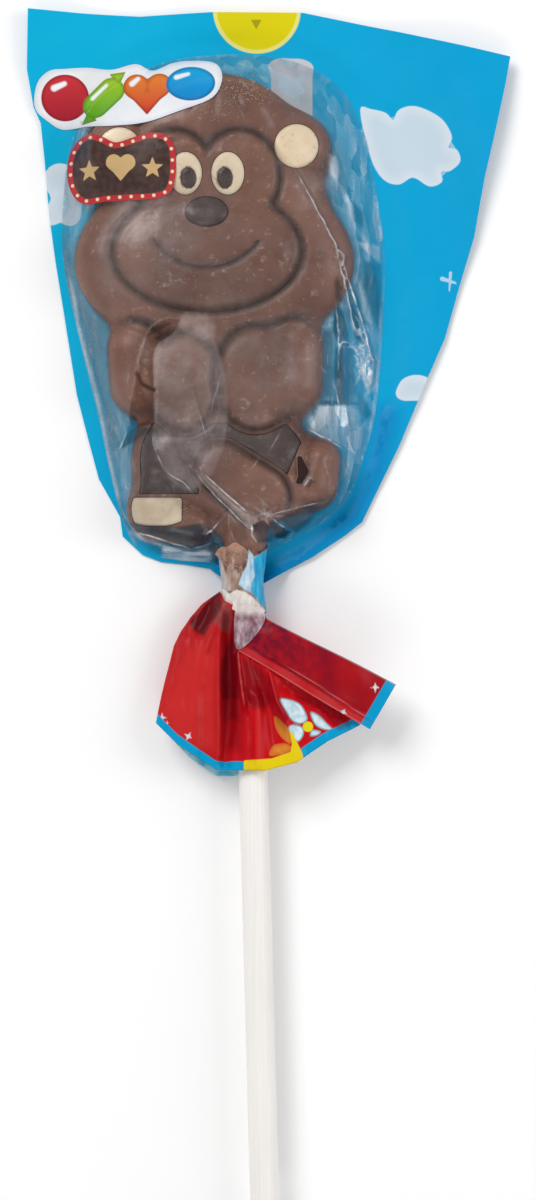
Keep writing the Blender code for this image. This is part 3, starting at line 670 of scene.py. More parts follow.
PUPIL_EDGE = 0.08
dark = chocolate(
    "dark_chocolate_fill", (0.026, 0.015, 0.014), (0.045, 0.027, 0.024), (0.15, 0.11, 0.10), 0.5, 0.40
)
for node, rounding in (("nose", 2.0), ("shorts", 1.2)):
    spot = patch_piece(f"{node}_fill", patches[node], dark, patch_rises[node], rounding)
    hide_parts(node)
for side, pupil in pupils.items():
    level = lambda x, y: eye_level(side, x, y) - 0.02
    swollen = lambda x, y: level(x, y) + 0.25 * dome(-pupil(x, y) - PUPIL_EDGE, 0.9)
    outline = evenly(contour(pupil, -PUPIL_EDGE, step=0.1), 0.25)
    spot = slab(f"pupil_{side}_fill", outline, swollen, lambda x, y: level(x, y) - 0.3, dark, spacing=0.25)
    keep_value(spot, "pressed", np.zeros(len(spot.data.vertices)))
    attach(spot, LOLLIPOP)
    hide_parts(f"pupil_{side}")

# 4. The stick
# An extruded white plastic tube with a satin skin, faint draw lines along it and a little cocoa rubbed on
# in faint blotches. The solid is used as it is.

satin, tree, shader = new_finish("satin_white_plastic")
draw_lines = grain(tree, 0.5, 2.0, stretch=(1.0, 0.02, 1.0))
tint = blended(tree, spread(tree, draw_lines, 0.3, 0.7), (0.82, 0.79, 0.755), (0.87, 0.845, 0.815))
smudge = spread(tree, grain(tree, 9.0, 3.0, stretch=(1.0, 0.5, 1.0)), 0.45, 0.75, 0.0, 0.35)
tree.links.new(blended(tree, smudge, tint, (0.76, 0.73, 0.70)), shader.inputs["Base Color"])
tree.links.new(spread(tree, draw_lines, 0.3, 0.7, 0.38, 0.5), shader.inputs["Roughness"])
shader.inputs["Subsurface Weight"].default_value = 0.15
shader.inputs["Subsurface Radius"].default_value = (0.0012, 0.0011, 0.001)
bumped(tree, shader, draw_lines, 0.02)
stick = frame["nodes"]["stick"]
stick.data.materials.clear()
stick.data.materials.append(satin)

# 5. The printed back film
# The back of the bag is plastic film, printed on its inside with a blue sky, clouds and a yellow half disc
# at the tear edge. It lies flat under the chocolate, curls up at its corners and is gathered at its foot.

PANEL_OUTLINE = [
    (-37.2, 92.0), (-28.0, 91.3), (-19.9, 90.9), (-8.6, 91.6), (5.3, 91.5), (20.4, 88.4), (37.4, 84.6),
    (36.7, 80.7), (35.2, 73.7), (33.4, 65.8), (31.8, 56.6), (29.6, 49.2), (27.3, 41.0), (24.8, 35.3),
    (20.2, 24.3), (17.4, 18.6), (14.5, 12.6), (12.0, 10.6), (6.7, 7.1), (1.4, 4.3), (-0.9, 3.0), (-1.6, 1.6),
    (-2.6, 1.6), (-3.7, 1.6), (-4.8, 1.6), (-5.8, 1.6), (-7.2, 4.0), (-9.2, 5.4), (-12.9, 6.0), (-16.6, 6.4),
    (-19.5, 7.5), (-22.6, 10.4), (-23.0, 13.4), (-26.3, 19.3), (-27.9, 25.3), (-29.7, 32.3), (-31.8, 45.5),
    (-33.0, 52.8), (-34.0, 60.2), (-34.7, 68.7), (-35.3, 74.4), (-36.4, 76.9), (-37.4, 82.7),
]
POUCH_OUTLINE = [
    (-31.5, 54.0), (-31.4, 62.5), (-30.0, 72.0), (-25.2, 78.9), (-16.8, 83.3), (-8.0, 84.6), (0.0, 84.4),
    (6.4, 82.6), (11.6, 78.6), (14.9, 71.4), (16.6, 62.0), (17.6, 53.6), (17.3, 42.0), (16.3, 30.5),
    (14.6, 23.4), (12.2, 17.0), (9.0, 13.5), (5.4, 11.2), (1.4, 9.2), (-2.0, 7.5), (-6.4, 6.2), (-9.4, 6.8),
    (-14.0, 7.1), (-19.6, 8.5), (-22.0, 12.4), (-23.9, 19.4), (-25.8, 28.4), (-27.7, 36.2), (-29.8, 45.0),
]
# The part of the plan in which the pouch lies
ROUND_POUCH = {"low": (-44.0, -6.0), "high": (30.0, 96.0)}
FILM_THICKNESS = 0.08
NECK_ASIDE = 0.6
NECK_RADIUS = 3.5


def rounded(points, per_side=4):
    """A smooth closed curve through these points."""
    line = np.array(points, float)
    before, after, beyond = np.roll(line, 1, 0), np.roll(line, -1, 0), np.roll(line, -2, 0)
    made = []
    for p0, p1, p2, p3 in zip(before, line, after, beyond):
        for t in np.arange(per_side) / per_side:
            bend = (2 * p0 - 5 * p1 + 4 * p2 - p3) * t * t + (3 * p1 - p0 - 3 * p2 + p3) * t**3
            made.append(tuple(0.5 * (2 * p1 + (p2 - p0) * t + bend)))
    return anticlockwise(made)


def with_corners(points, spacing):
    """The same closed line, its long sides split to about this length and its corners kept."""
    made = []
    for a, b in zip(points, points[1:] + points[:1]):
        count = max(1, round(math.dist(a, b) / spacing))
        made += [tuple(np.add(a, np.subtract(b, a) * k / count)) for k in range(count)]
    return made


def stick_x(y):
    """X of the stick's axis at this Y."""
    share = (y - STICK_END[1]) / (STICK_TOP[1] - STICK_END[1])
    return STICK_END[0] + share * (STICK_TOP[0] - STICK_END[0])


pouch = polygon(rounded(POUCH_OUTLINE))
lower_fold = stroke([(18.5, 29.0), (16.8, 20.7), (13.2, 13.6), (6.2, 8.0), (0.2, 4.2)])


def panel_level(x, y):
    """Height of the printed film's upper side."""
    away = np.maximum(pouch(x, y) - 1.0, 0.0)
    curl = smooth_step(0.0, 26.0, away) * (0.62 + 0.38 * np.cos(2 * math.pi * (x + 0.4 * y) / 31.0))
    turn, reach = np.arctan2(y - 3.0, x + 4.0), np.hypot(x + 4.0, y - 3.0)
    gathers = 0.55 * np.exp(-reach / 16.0) * np.cos(13.0 * turn + 2.5 * uneven(x, y, 9.0, 2.0))
    limp = 0.30 * uneven(x, y, 17.0, 6.0) + 0.12 * uneven(x, y, 6.0, 8.0)
    ridge = 0.8 * np.exp(-((lower_fold(x, y) / 1.1) ** 2))
    flat = 3.2 * curl + smooth_step(0.0, 4.0, away) * (0.35 + gathers + limp)
    flat = flat + smooth_step(0.0, 1.5, away) * ridge
    aside = x - stick_x(y) + NECK_ASIDE
    cup = STICK_Z - np.sqrt(np.maximum(NECK_RADIUS**2 - aside**2, 0.8)) + 0.1
    risen = smooth_step(5.4, 3.2, y)
    return np.maximum(flat, 0.12) * (1 - risen) + cup * risen


def star(centre, radius, inner, points=5, turn=0.0):
    """Distance to a star."""
    corners = []
    for k in range(2 * points):
        reach, a = (radius, inner)[k % 2], turn + math.pi * k / points
        corners.append((centre[0] + reach * math.sin(a), centre[1] + reach * math.cos(a)))
    return polygon(corners)


def any_of(*fields):
    """Distance to the nearest of some shapes."""
    return lambda x, y: np.minimum.reduce([field(x, y) for field in fields])


def place_along(tree, axis):
    """How far along this axis a point lies, in metres."""
    place = step(tree, "TexCoord", {}).outputs["Object"]
    return step(tree, "SeparateXYZ", {"Vector": place}).outputs[axis]


def print_over(tree, ground, name, colour, soft=0.07):
    """A shape printed over the ground, where the distance kept under this name is below zero."""
    return blended(tree, spread(tree, kept(tree, name), -soft, soft, 1.0, 0.0), ground, colour)


def film_gloss(tree, shader, roughness, spread_of=0.08, gloss=0.13):
    """Plastic film: a gloss that is duller where it has been handled, and fine creases."""
    worn = grain(tree, 5.0, 4.0, turn=2.0)
    dulled = spread(tree, worn, 0.3, 0.7, roughness - spread_of, roughness + spread_of)
    tree.links.new(dulled, shader.inputs["Roughness"])
    shader.inputs["Specular IOR Level"].default_value = gloss
    bumped(tree, shader, grain(tree, 1.8, 2.0, turn=4.0), 0.05)


right_cloud = polygon(rounded([
    (14.2, 76.5), (15.9, 76.6), (18.2, 76.0), (19.3, 74.9), (20.2, 76.5), (22.9, 77.0), (26.7, 75.1),
    (28.4, 72.2), (27.8, 70.6), (29.1, 70.3), (29.7, 68.4), (28.0, 66.9), (26.7, 66.9), (26.9, 65.3),
    (24.9, 64.6), (22.4, 66.0), (20.2, 64.9), (17.7, 65.8), (15.7, 69.4),
]))
left_cloud = joined(
    0.6,
    ellipse((-32.3, 65.6), (2.6, 2.6)),
    ellipse((-31.4, 61.8), (2.5, 2.5)),
    ellipse((-33.6, 60.2), (1.6, 1.6)),
    ellipse((-30.8, 60.2), (1.7, 1.7)),
)
low_cloud = joined(0.5, ellipse((22.9, 33.4), (2.8, 2.0)), ellipse((21.2, 32.6), (1.5, 1.2)))
middle_cloud = joined(
    0.8,
    block((3.6, 77.2), (3.2, 6.4), 0.6),
    ellipse((2.2, 83.2), (2.2, 1.3)),
    ellipse((4.6, 82.9), (2.1, 1.5)),
)
panel_print_and_shade = {
    "white_clouds": any_of(right_cloud, left_cloud, low_cloud),
    "grey_cloud": middle_cloud,
    "half_disc": ellipse((-1.8, 92.0), (6.8, 6.8)),
    "tear_mark": polygon([(-2.7, 90.4), (-1.9, 89.0), (-1.1, 90.4)]),
    "glint": any_of(
        limb((26.9, 50.3), (29.7, 49.4), 0.32, 0.08),
        limb((28.2, 51.2), (28.0, 48.4), 0.22, 0.08),
    ),
    # painted shade: a darker band along the lower fold
    "fold_shade": grown(lower_fold, 1.0),
}

sky_film, tree, shader = new_finish("sky_blue_printed_film")
rightward = spread(tree, place_along(tree, "X"), -0.03, 0.03)
downward = spread(tree, place_along(tree, "Y"), 0.045, 0.005, 0.0, 0.55)
sky = blended(tree, rightward, (0.0, 0.400, 0.650), (0.0, 0.325, 0.610))
sky = blended(tree, downward, sky, (0.0, 0.300, 0.590))
sky = blended(tree, spread(tree, grain(tree, 14.0, 3.0), 0.35, 0.65, 0.0, 0.22), sky, (0.0, 0.330, 0.610))
# painted shade along the lower fold
sky = blended(tree, spread(tree, kept(tree, "fold_shade"), -0.8, 2.2, 0.75, 0.0), sky, (0.0, 0.190, 0.480))
sky = print_over(tree, sky, "white_clouds", (0.60, 0.68, 0.75))
cloud_core = spread(tree, kept(tree, "white_clouds"), -1.6, -0.3, 1.0, 0.0)
sky = blended(tree, cloud_core, sky, (0.52, 0.63, 0.71))
sky = print_over(tree, sky, "grey_cloud", (0.54, 0.55, 0.59))
sky = print_over(tree, sky, "half_disc", (0.72, 0.70, 0.20))
sky = blended(tree, spread(tree, kept(tree, "half_disc"), -0.66, -0.52, 1.0, 0.0), sky, (0.66, 0.58, 0.004))
sky = print_over(tree, sky, "tear_mark", (0.05, 0.05, 0.01), 0.04)
sky = print_over(tree, sky, "glint", (0.80, 0.84, 0.88), 0.05)
tree.links.new(sky, shader.inputs["Base Color"])
film_gloss(tree, shader, 0.40)

panel_edge = polygon(PANEL_OUTLINE)
on_panel = lambda x, y: panel_edge(x, y) < -0.5
panel_lines = []
for level in (0.6, 1.4, 2.6):
    ring = evenly(contour(pouch, level, step=0.5, **ROUND_POUCH), 0.9)
    panel_lines += kept_runs(ring, lambda x, y: panel_edge(x, y) < -0.9)
for shape in (right_cloud, left_cloud, low_cloud, middle_cloud, panel_print_and_shade["half_disc"]):
    ring = evenly(contour(shape, low=(-40.0, 20.0), high=(40.0, 100.0)), 0.5)
    panel_lines += kept_runs(ring, on_panel)
for shape, low, high in (
    (panel_print_and_shade["tear_mark"], (-4.0, 88.0), (0.0, 92.0)),
    (panel_print_and_shade["glint"], (25.0, 47.0), (31.0, 53.0)),
):
    for level in (0.25, 0.0):
        panel_lines += kept_runs(evenly(contour(shape, level, 0.06, low, high), 0.2), on_panel)
panel = slab(
    "printed_back", with_corners(anticlockwise(PANEL_OUTLINE), 0.9), panel_level,
    lambda x, y: panel_level(x, y) - FILM_THICKNESS, sky_film, panel_lines, 0.85,
)
for name, field in panel_print_and_shade.items():
    keep_value(panel, name, field(*plan_of(panel)))
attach(panel, LOLLIPOP)
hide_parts("printed_wrapper")

# 6. The clear front film
# The front of the bag is clear film, drawn tight over the chocolate and down to the printed film, where it
# is sealed. It is creased and crinkled, with a whitish bloom where it touches the chocolate and bright
# folds where it doesn't. The shine and shade of its folds and the light and shade of its small faces are
# painted into its colour.

CELL = 0.5
FILM_CLEARANCE = 0.12
RELAXING_ROUNDS = 2500  # enough for the drawn film to come to rest
grid_x, grid_y = np.arange(-34.5, 20.6, CELL), np.arange(1.5, 87.1, CELL)
grid = np.meshgrid(grid_x, grid_y, indexing="ij")


def contents_level(x, y):
    """Height of what the clear film is drawn over."""
    top = chocolate_front(x, y)
    for name, rise in patch_rises.items():
        top = top + rise * dome(-patches[name](x, y), 1.2)
    return np.where(figure_outline(x, y) < 0.15, top, panel_level(x, y)) + FILM_CLEARANCE


lowest = contents_level(*grid)
loose = pouch(*grid) < 0.0
taut = np.where(loose, lowest, panel_level(*grid) + 0.05)
for _ in range(RELAXING_ROUNDS):
    around = 0.25 * (np.roll(taut, 1, 0) + np.roll(taut, -1, 0) + np.roll(taut, 1, 1) + np.roll(taut, -1, 1))
    taut = np.where(loose, np.maximum(lowest, around), taut)


def taut_level(x, y):
    """The drawn film's height between the cells of its grid."""
    i = np.clip((x - grid_x[0]) / CELL, 0.0, len(grid_x) - 1.001)
    j = np.clip((y - grid_y[0]) / CELL, 0.0, len(grid_y) - 1.001)
    a, b = i.astype(int), j.astype(int)
    u, v = i - a, j - b
    near = taut[a, b] * (1 - v) + taut[a, b + 1] * v
    far = taut[a + 1, b] * (1 - v) + taut[a + 1, b + 1] * v
    return np.maximum(near * (1 - u) + far * u, contents_level(x, y))


badge_line = rounded([
    (-36.3, 78.0), (-35.7, 80.8), (-33.9, 82.5), (-31.4, 82.8), (-28.0, 83.0), (-24.3, 82.7), (-20.5, 83.6),
    (-17.9, 82.5), (-14.2, 83.9), (-8.8, 83.8), (-7.2, 81.8), (-7.5, 79.3), (-9.1, 77.4), (-13.6, 75.7),
    (-18.8, 74.0), (-24.6, 73.4), (-28.6, 73.7), (-32.0, 73.4), (-34.5, 74.9), (-35.9, 76.2),
])
plaque_line = rounded([
    (-31.2, 66.9), (-30.8, 69.5), (-29.5, 71.5), (-27.7, 72.3), (-25.5, 71.7), (-23.5, 70.8), (-21.0, 71.5),
    (-18.4, 72.3), (-15.9, 72.0), (-14.5, 70.3), (-14.2, 68.0), (-14.3, 65.3), (-15.1, 63.0), (-17.1, 62.1),
    (-21.5, 61.9), (-25.3, 61.8), (-28.0, 61.5), (-29.8, 62.5), (-30.9, 64.6),
])
badge, plaque = polygon(badge_line), polygon(plaque_line)
labels = any_of(badge, plaque)


def wavering(points, sway, turn):
    """The same line with its points close together, swaying a little from side to side."""
    line = np.array(evenly(points, 0.4, closed=False))
    held = np.minimum(np.arange(len(line)), np.arange(len(line))[::-1]).clip(0, 3) / 3
    line[:, 0] += sway * held * uneven(line[:, 0], line[:, 1], 1.7, turn)
    line[:, 1] += sway * held * uneven(line[:, 0], line[:, 1], 1.7, turn + 5.0)
    return [tuple(p) for p in line]


# Folds that stand up as a sharp line: points, height, half width and how brightly the edge shines
bright_folds = [
    ([
        (0.9, 70.1), (4.4, 66.0), (7.7, 60.2), (10.2, 55.3), (10.8, 52.9), (12.0, 48.3), (12.9, 43.9),
        (13.7, 40.5),
    ], 0.50, 0.26, 0.85),
    ([(11.1, 53.6), (12.5, 49.2), (14.2, 44.3), (15.3, 40.1), (16.2, 37.4), (16.0, 33.9)], 0.45, 0.26, 0.75),
    ([(10.2, 54.8), (11.7, 53.6), (11.4, 52.0), (10.5, 52.9)], 0.45, 0.26, 0.80),
    ([(-16.2, 21.0), (-15.3, 19.9), (-13.3, 18.7), (-11.2, 16.5)], 0.20, 0.24, 0.42),
    ([(-17.9, 27.2), (-17.7, 24.4), (-16.0, 20.4)], 0.20, 0.24, 0.40),
    ([(10.3, 47.0), (10.8, 41.6), (10.6, 35.3)], 0.25, 0.24, 0.32),
    ([(10.8, 35.9), (10.8, 39.0), (11.5, 40.4), (13.3, 40.1)], 0.20, 0.24, 0.36),
    ([(5.8, 26.9), (8.6, 25.5), (11.9, 23.5)], 0.25, 0.24, 0.60),
    ([(11.9, 30.5), (12.3, 26.9), (12.5, 23.5)], 0.20, 0.24, 0.40),
    ([(-0.4, 13.6), (2.4, 14.2), (5.5, 15.0), (8.0, 15.6)], 0.30, 0.24, 0.60),
    ([(-0.4, 13.6), (1.5, 12.3), (3.6, 11.2)], 0.30, 0.24, 0.55),
    ([(-12.0, 20.8), (-8.1, 16.5), (-4.7, 13.1), (-2.7, 11.2)], 0.30, 0.26, 0.62),
    ([(-10.5, 20.4), (-6.7, 17.0), (-3.5, 14.2), (-0.4, 13.6)], 0.30, 0.26, 0.66),
    ([(-21.0, 11.2), (-16.4, 9.8), (-11.9, 8.4), (-8.4, 9.4)], 0.20, 0.26, 0.55),
    ([(-23.0, 16.0), (-22.1, 13.1), (-20.4, 10.8), (-18.1, 9.1)], 0.15, 0.26, 0.38),
    ([(-16.8, 8.0), (-12.8, 7.4), (-8.8, 7.8)], 0.15, 0.26, 0.55),
    ([(-9.7, 10.5), (-8.0, 12.0), (-6.1, 14.3)], 0.25, 0.24, 0.45),
    ([(-6.1, 14.3), (-6.1, 11.7), (-5.0, 8.9)], 0.25, 0.24, 0.40),
    ([(-2.6, 12.3), (-2.6, 10.5), (-1.6, 9.1)], 0.25, 0.24, 0.50),
    ([(3.8, 23.6), (3.6, 20.9), (3.7, 18.3)], 0.10, 0.24, 0.20),
    ([(5.4, 17.9), (6.5, 19.4), (7.1, 18.7)], 0.20, 0.30, 1.50),
    ([(-2.4, 17.0), (-1.0, 15.9), (0.4, 14.3)], 0.15, 0.24, 0.35),
    ([(8.3, 22.6), (9.4, 19.1), (9.2, 16.5)], 0.20, 0.24, 0.30),
    ([(-12.0, 33.6), (-9.8, 26.4), (-9.2, 24.9)], 0.15, 0.24, 0.30),
    ([(-21.9, 26.4), (-22.7, 24.4), (-23.3, 23.5)], 0.15, 0.24, 0.50),
]
bright_folds = [
    (wavering(points, 0.14, float(k)), height, width, 0.62 * shine)
    for k, (points, height, width, shine) in enumerate(bright_folds)
]
# The line along which the clear film is welded to the printed one, at the bag's left side
LEFT_WELD = [
    (-31.2, 52.6), (-30.3, 48.6), (-29.6, 43.3), (-28.1, 37.4), (-26.8, 32.8), (-25.9, 28.8), (-25.0, 23.8),
    (-23.8, 18.5), (-22.7, 14.8),
]
# Short fine creases: most run along the bag beside the figure, and the last of them lie in a crumpled place
# at its right side
CREASES, PLAIN_CREASES = 350, 300
CRUMPLE = (15.0, 36.5)
random = np.random.default_rng(5)
fine_folds = []
for number in range(CREASES):
    crumpled = number >= PLAIN_CREASES
    if crumpled:
        at = np.array([random.normal(CRUMPLE[0], 0.8), random.normal(CRUMPLE[1], 2.6)])
        heading, length, bend = random.normal(1.75, 0.35), random.uniform(1.6, 3.6), 0.22
        shine = random.uniform(0.10, 0.26)
    else:
        at = np.array([random.uniform(-31.0, 17.5), random.uniform(8.0, 83.5)])
        heading, length, bend = random.normal(math.pi / 2, 0.25), random.uniform(2.0, 8.0), 0.14
        shine = random.uniform(0.05, 0.22)
    line = [tuple(at)]
    for _ in range(3):
        heading += random.normal(0.0, bend)
        at = at + length / 3 * np.array([math.cos(heading), math.sin(heading)])
        line.append(tuple(at))
    ends = np.array(line).T
    beside, in_bag = figure_outline(*ends).min() > 0.3, pouch(*ends).max() < -0.2
    if in_bag and labels(*ends).min() > 0.8 and (beside or crumpled or random.uniform() < 0.10):
        fine_folds.append((wavering(line, 0.10, 60.0), 0.12, random.uniform(0.04, 0.09), shine))
# Shallow troughs where the film is pushed in: points, depth and half width
dark_folds = [
    ([(-0.7, 76.3), (-0.1, 71.4), (1.2, 67.2)], 0.35, 0.5),
    ([(13.0, 41.0), (14.2, 38.0), (14.8, 34.0)], 0.30, 0.4),
    ([(0.4, 12.1), (3.6, 13.2), (7.8, 14.4)], 0.30, 0.5),
]
# A patch where the film clings and shows the chocolate clear and glossy, with streaks of brown painted
# over it as painted light
clear_gap = polygon([
    (-13.6, 43.5), (-15.0, 43.8), (-16.7, 43.3), (-18.1, 42.2), (-18.8, 40.7), (-19.5, 38.7), (-20.1, 36.2),
    (-20.5, 33.7), (-21.2, 31.2), (-21.5, 28.8), (-21.2, 27.4), (-19.8, 27.0), (-17.6, 27.5), (-17.6, 31.5),
    (-17.7, 35.4), (-17.7, 37.7), (-17.4, 39.4), (-16.5, 40.4), (-15.1, 41.2), (-14.2, 42.1),
])
# A small hole torn in the film, and a corner that has stayed clean
hole_line = [
    (4.4, 22.7), (5.1, 22.6), (5.6, 21.6), (6.2, 20.5), (6.1, 19.9), (5.6, 19.1), (5.2, 18.4), (4.7, 18.3),
    (4.2, 18.4), (4.2, 18.8), (4.5, 19.6), (4.4, 21.2),
]
clear_hole = polygon(hole_line)
clean_corner = polygon([(-20.8, 10.2), (-19.0, 9.4), (-16.8, 8.9), (-16.5, 6.4), (-18.4, 7.1), (-20.2, 8.4)])
# Patches in the shade of a fold: outline, softness in millimetres and amount
slate_patches = [
    ([(0.4, 12.5), (1.8, 12.0), (3.5, 11.2), (2.7, 10.2), (1.2, 10.0), (0.5, 11.1)], 0.15, 0.97),
    ([(2.1, 13.1), (4.3, 14.2), (6.7, 15.0), (8.1, 15.0), (6.3, 12.5), (4.3, 10.9), (3.0, 11.9)], 0.3, 0.70),
    ([(4.9, 14.8), (7.7, 16.0), (9.5, 16.7), (11.1, 18.2), (9.8, 15.3), (7.7, 13.7), (5.8, 12.8)], 0.5, 0.42),
    ([
        (-21.9, 12.6), (-18.4, 11.9), (-13.6, 11.7), (-10.6, 12.3), (-8.4, 11.1), (-8.4, 9.2), (-12.2, 8.6),
        (-16.0, 9.7), (-19.9, 10.6),
    ], 0.3, 0.72),
    ([(-23.0, 23.9), (-21.3, 26.7), (-19.8, 27.5), (-18.4, 26.9), (-20.4, 25.2)], 0.25, 0.62),
    ([(-9.2, 9.7), (-7.7, 9.1), (-7.2, 7.4), (-8.1, 5.7), (-9.1, 7.2)], 0.3, 0.60),
    ([(10.2, 49.5), (10.6, 50.3), (11.4, 48.6), (11.1, 46.6), (10.3, 46.6)], 0.5, 0.50),
    ([(12.6, 46.4), (13.7, 44.6), (14.5, 42.1), (14.8, 40.2), (13.6, 40.7), (12.9, 43.0)], 0.2, 0.52),
    ([(10.3, 46.6), (11.4, 44.7), (12.3, 41.5), (12.3, 39.8), (11.1, 39.3), (10.0, 41.8)], 0.3, 0.46),
    ([
        (11.1, 39.0), (12.2, 39.9), (13.4, 39.2), (13.2, 35.9), (13.6, 32.8), (12.9, 30.8), (10.8, 31.1),
        (10.5, 35.6),
    ], 0.6, 0.40),
    ([(10.6, 39.6), (11.6, 39.6), (11.8, 35.6), (11.7, 31.6), (10.5, 31.4), (10.3, 35.6)], 0.5, 0.74),
    ([(15.0, 52.9), (17.6, 52.5), (17.6, 47.0), (17.0, 42.1), (15.9, 44.6), (14.6, 49.2)], 0.5, 0.30),
    ([(13.1, 62.1), (14.6, 60.4), (14.6, 57.9), (13.3, 59.1)], 0.4, 0.34),
    ([(7.8, 31.2), (13.9, 31.2), (13.9, 30.6), (7.8, 30.6)], 0.15, 0.34),
    ([(7.7, 42.1), (9.5, 42.4), (10.2, 39.9), (9.7, 37.4), (9.8, 31.9), (8.0, 31.5), (7.5, 36.8)], 0.5, 0.24),
    ([(13.6, 32.6), (14.8, 31.9), (16.0, 29.4), (15.1, 28.4), (13.9, 30.0)], 0.4, 0.36),
    ([(-2.4, 12.0), (-1.0, 12.8), (0.7, 11.5), (0.7, 9.7), (-1.6, 9.2)], 0.2, 0.46),
    ([(-5.7, 12.8), (-3.6, 11.9), (-2.9, 9.8), (-4.4, 9.2), (-5.7, 10.2)], 0.25, 0.26),
]
# Where the glossy chocolate in the left gap lies deepest, painted dark brown as shade
deep_brown = any_of(
    stroke([(-18.5, 40.8), (-17.7, 41.9), (-16.4, 42.5), (-15.3, 43.0)]),
    stroke([(-17.1, 40.7), (-15.6, 41.3)]),
    stroke([(-20.2, 35.3), (-19.5, 33.7), (-17.7, 32.8)]),
    stroke([(-20.8, 28.6), (-20.4, 28.3)]),
    stroke([(-19.9, 27.4), (-18.4, 27.8)]),
)
# The middle of a small star of gathered film, and where its faces end, with the half width of each
STARBURST = (-0.4, 13.6)
starburst_tips = [
    ((-2.2, 14.8), 0.30), ((-0.9, 15.6), 0.14), ((1.2, 14.9), 0.20), ((2.9, 13.4), 0.34), ((1.0, 12.2), 0.16),
    ((-0.1, 11.4), 0.30), ((-1.7, 12.0), 0.22), ((-2.7, 13.3), 0.36),
]
crumpled_place = polygon([
    (13.6, 40.1), (16.0, 40.4), (16.8, 37.7), (16.4, 34.0), (15.4, 32.6), (14.2, 35.4), (13.3, 37.7),
])
# Patches where the film is milky, some of them painted highlights: outline or distance, softness in
# millimetres and amount
haze_and_highlight_patches = [
    (ellipse((-18.0, 54.2), (6.5, 7.5)), 4.0, 0.13),
    (grown(stroke([(4.9, 64.1), (8.6, 56.0), (11.9, 47.0)]), 1.2), 2.0, 0.06),
    (grown(stroke([(-21.0, 63.0), (-25.0, 54.0), (-24.0, 47.0)]), 1.6), 2.4, 0.13),
    (ellipse((-10.0, 49.0), (8.0, 3.0)), 3.0, 0.05),
    (ellipse((-22.2, 31.5), (1.6, 5.0)), 1.6, 0.07),
    (ellipse((-0.8, 36.0), (7.0, 7.5)), 4.0, 0.07),
    (common(ellipse((-12.2, 30.5), (6.0, 13.0)), lambda x, y: -17.7 - x), 0.30, 0.16),
    ([
        (-14.3, 43.3), (-12.5, 44.6), (-9.7, 44.3), (-8.1, 42.5), (-8.4, 40.8), (-10.0, 40.1), (-11.5, 40.7),
        (-13.3, 41.5),
    ], 0.6, 0.26),
    (limb((-0.6, 75.6), (0.6, 73.4), 0.5, 0.4), 0.4, 0.16),
    ([
        (-17.6, 39.8), (-16.7, 40.4), (-16.4, 39.0), (-16.8, 34.6), (-16.7, 30.8), (-17.1, 27.2),
        (-17.6, 27.7), (-17.9, 31.5), (-17.9, 37.4),
    ], 0.4, 0.26),
    (grown(stroke([
        (-21.5, 28.3), (-21.3, 30.0), (-20.7, 33.1), (-19.8, 37.6), (-19.0, 40.2), (-18.1, 42.2),
        (-16.7, 43.3), (-15.0, 43.8), (-13.6, 43.3),
    ]), 0.18), 0.3, 0.34),
    ([(7.7, 30.5), (10.9, 30.5), (11.2, 24.1), (8.8, 25.2), (6.3, 26.7)], 0.25, 0.26),
    ([(10.9, 30.5), (13.9, 30.1), (14.6, 27.5), (14.3, 23.8), (12.0, 23.5), (11.2, 24.3)], 0.3, 0.18),
    (crumpled_place, 0.7, 0.26),
    (grown(stroke([(15.9, 39.3), (16.5, 37.4), (16.4, 34.0), (15.6, 32.6)]), 0.15), 0.25, 0.30),
    ([(9.1, 69.2), (10.6, 68.7), (11.2, 66.3), (10.6, 64.9), (9.5, 66.1)], 0.3, 0.24),
    (grown(stroke([(10.5, 65.2), (12.5, 61.6), (13.3, 58.2), (15.4, 55.4)]), 0.25), 0.4, 0.22),
    (limb((11.9, 78.7), (12.6, 73.1), 0.35, 0.5), 0.5, 0.10),
    (grown(stroke([(13.1, 71.8), (14.3, 68.0), (15.7, 63.3), (16.8, 56.7)]), 0.5), 0.7, 0.10),
    ([(13.4, 55.9), (17.3, 55.4), (17.4, 52.6), (16.0, 53.6)], 0.2, 0.30),
    (grown(stroke([(13.7, 49.7), (15.3, 45.2), (16.2, 40.8)]), 0.5), 0.5, 0.12),
    (limb((13.4, 31.5), (13.0, 20.7), 1.2, 1.6), 1.0, 0.10),
    ([(-24.3, 23.5), (-21.8, 24.4), (-20.2, 20.7), (-20.8, 16.4), (-22.4, 15.3), (-23.6, 19.1)], 0.6, 0.10),
    (grown(stroke([(-21.2, 11.1), (-19.0, 9.8), (-16.8, 9.1)]), 0.25), 0.3, 0.30),
    ([(-12.0, 20.8), (-10.2, 20.2), (-5.7, 16.2), (-1.8, 13.1), (-2.4, 11.2), (-4.7, 13.3)], 0.15, 0.32),
    ([(-5.2, 15.0), (-1.8, 13.3), (-1.6, 12.2), (-2.4, 11.0), (-4.9, 13.1)], 0.2, 0.36),
    (any_of(*[limb(STARBURST, tip, half, 0.02) for tip, half in starburst_tips]), 0.2, 0.50),
    ([(-6.1, 14.2), (-3.5, 12.9), (-2.9, 11.1), (-4.4, 11.4), (-5.8, 12.3)], 0.2, 0.12),
]
# Where light glares on the film over the left foot
foot_glare = polygon([
    (-16.4, 9.1), (-15.0, 8.8), (-12.9, 8.1), (-11.5, 8.0), (-10.0, 8.3), (-8.9, 8.0), (-8.6, 6.7),
    (-9.7, 5.8), (-12.2, 5.8), (-15.3, 6.1), (-16.5, 6.6),
])


def strongest(areas, x, y):
    """The strongest at each point of some soft-edged areas, each an outline or a distance function."""
    amounts = []
    for shape, soft, amount in areas:
        field = shape if callable(shape) else polygon(shape)
        amounts.append(amount * smooth_step(soft, -soft, field(x, y)))
    return np.maximum.reduce(amounts)


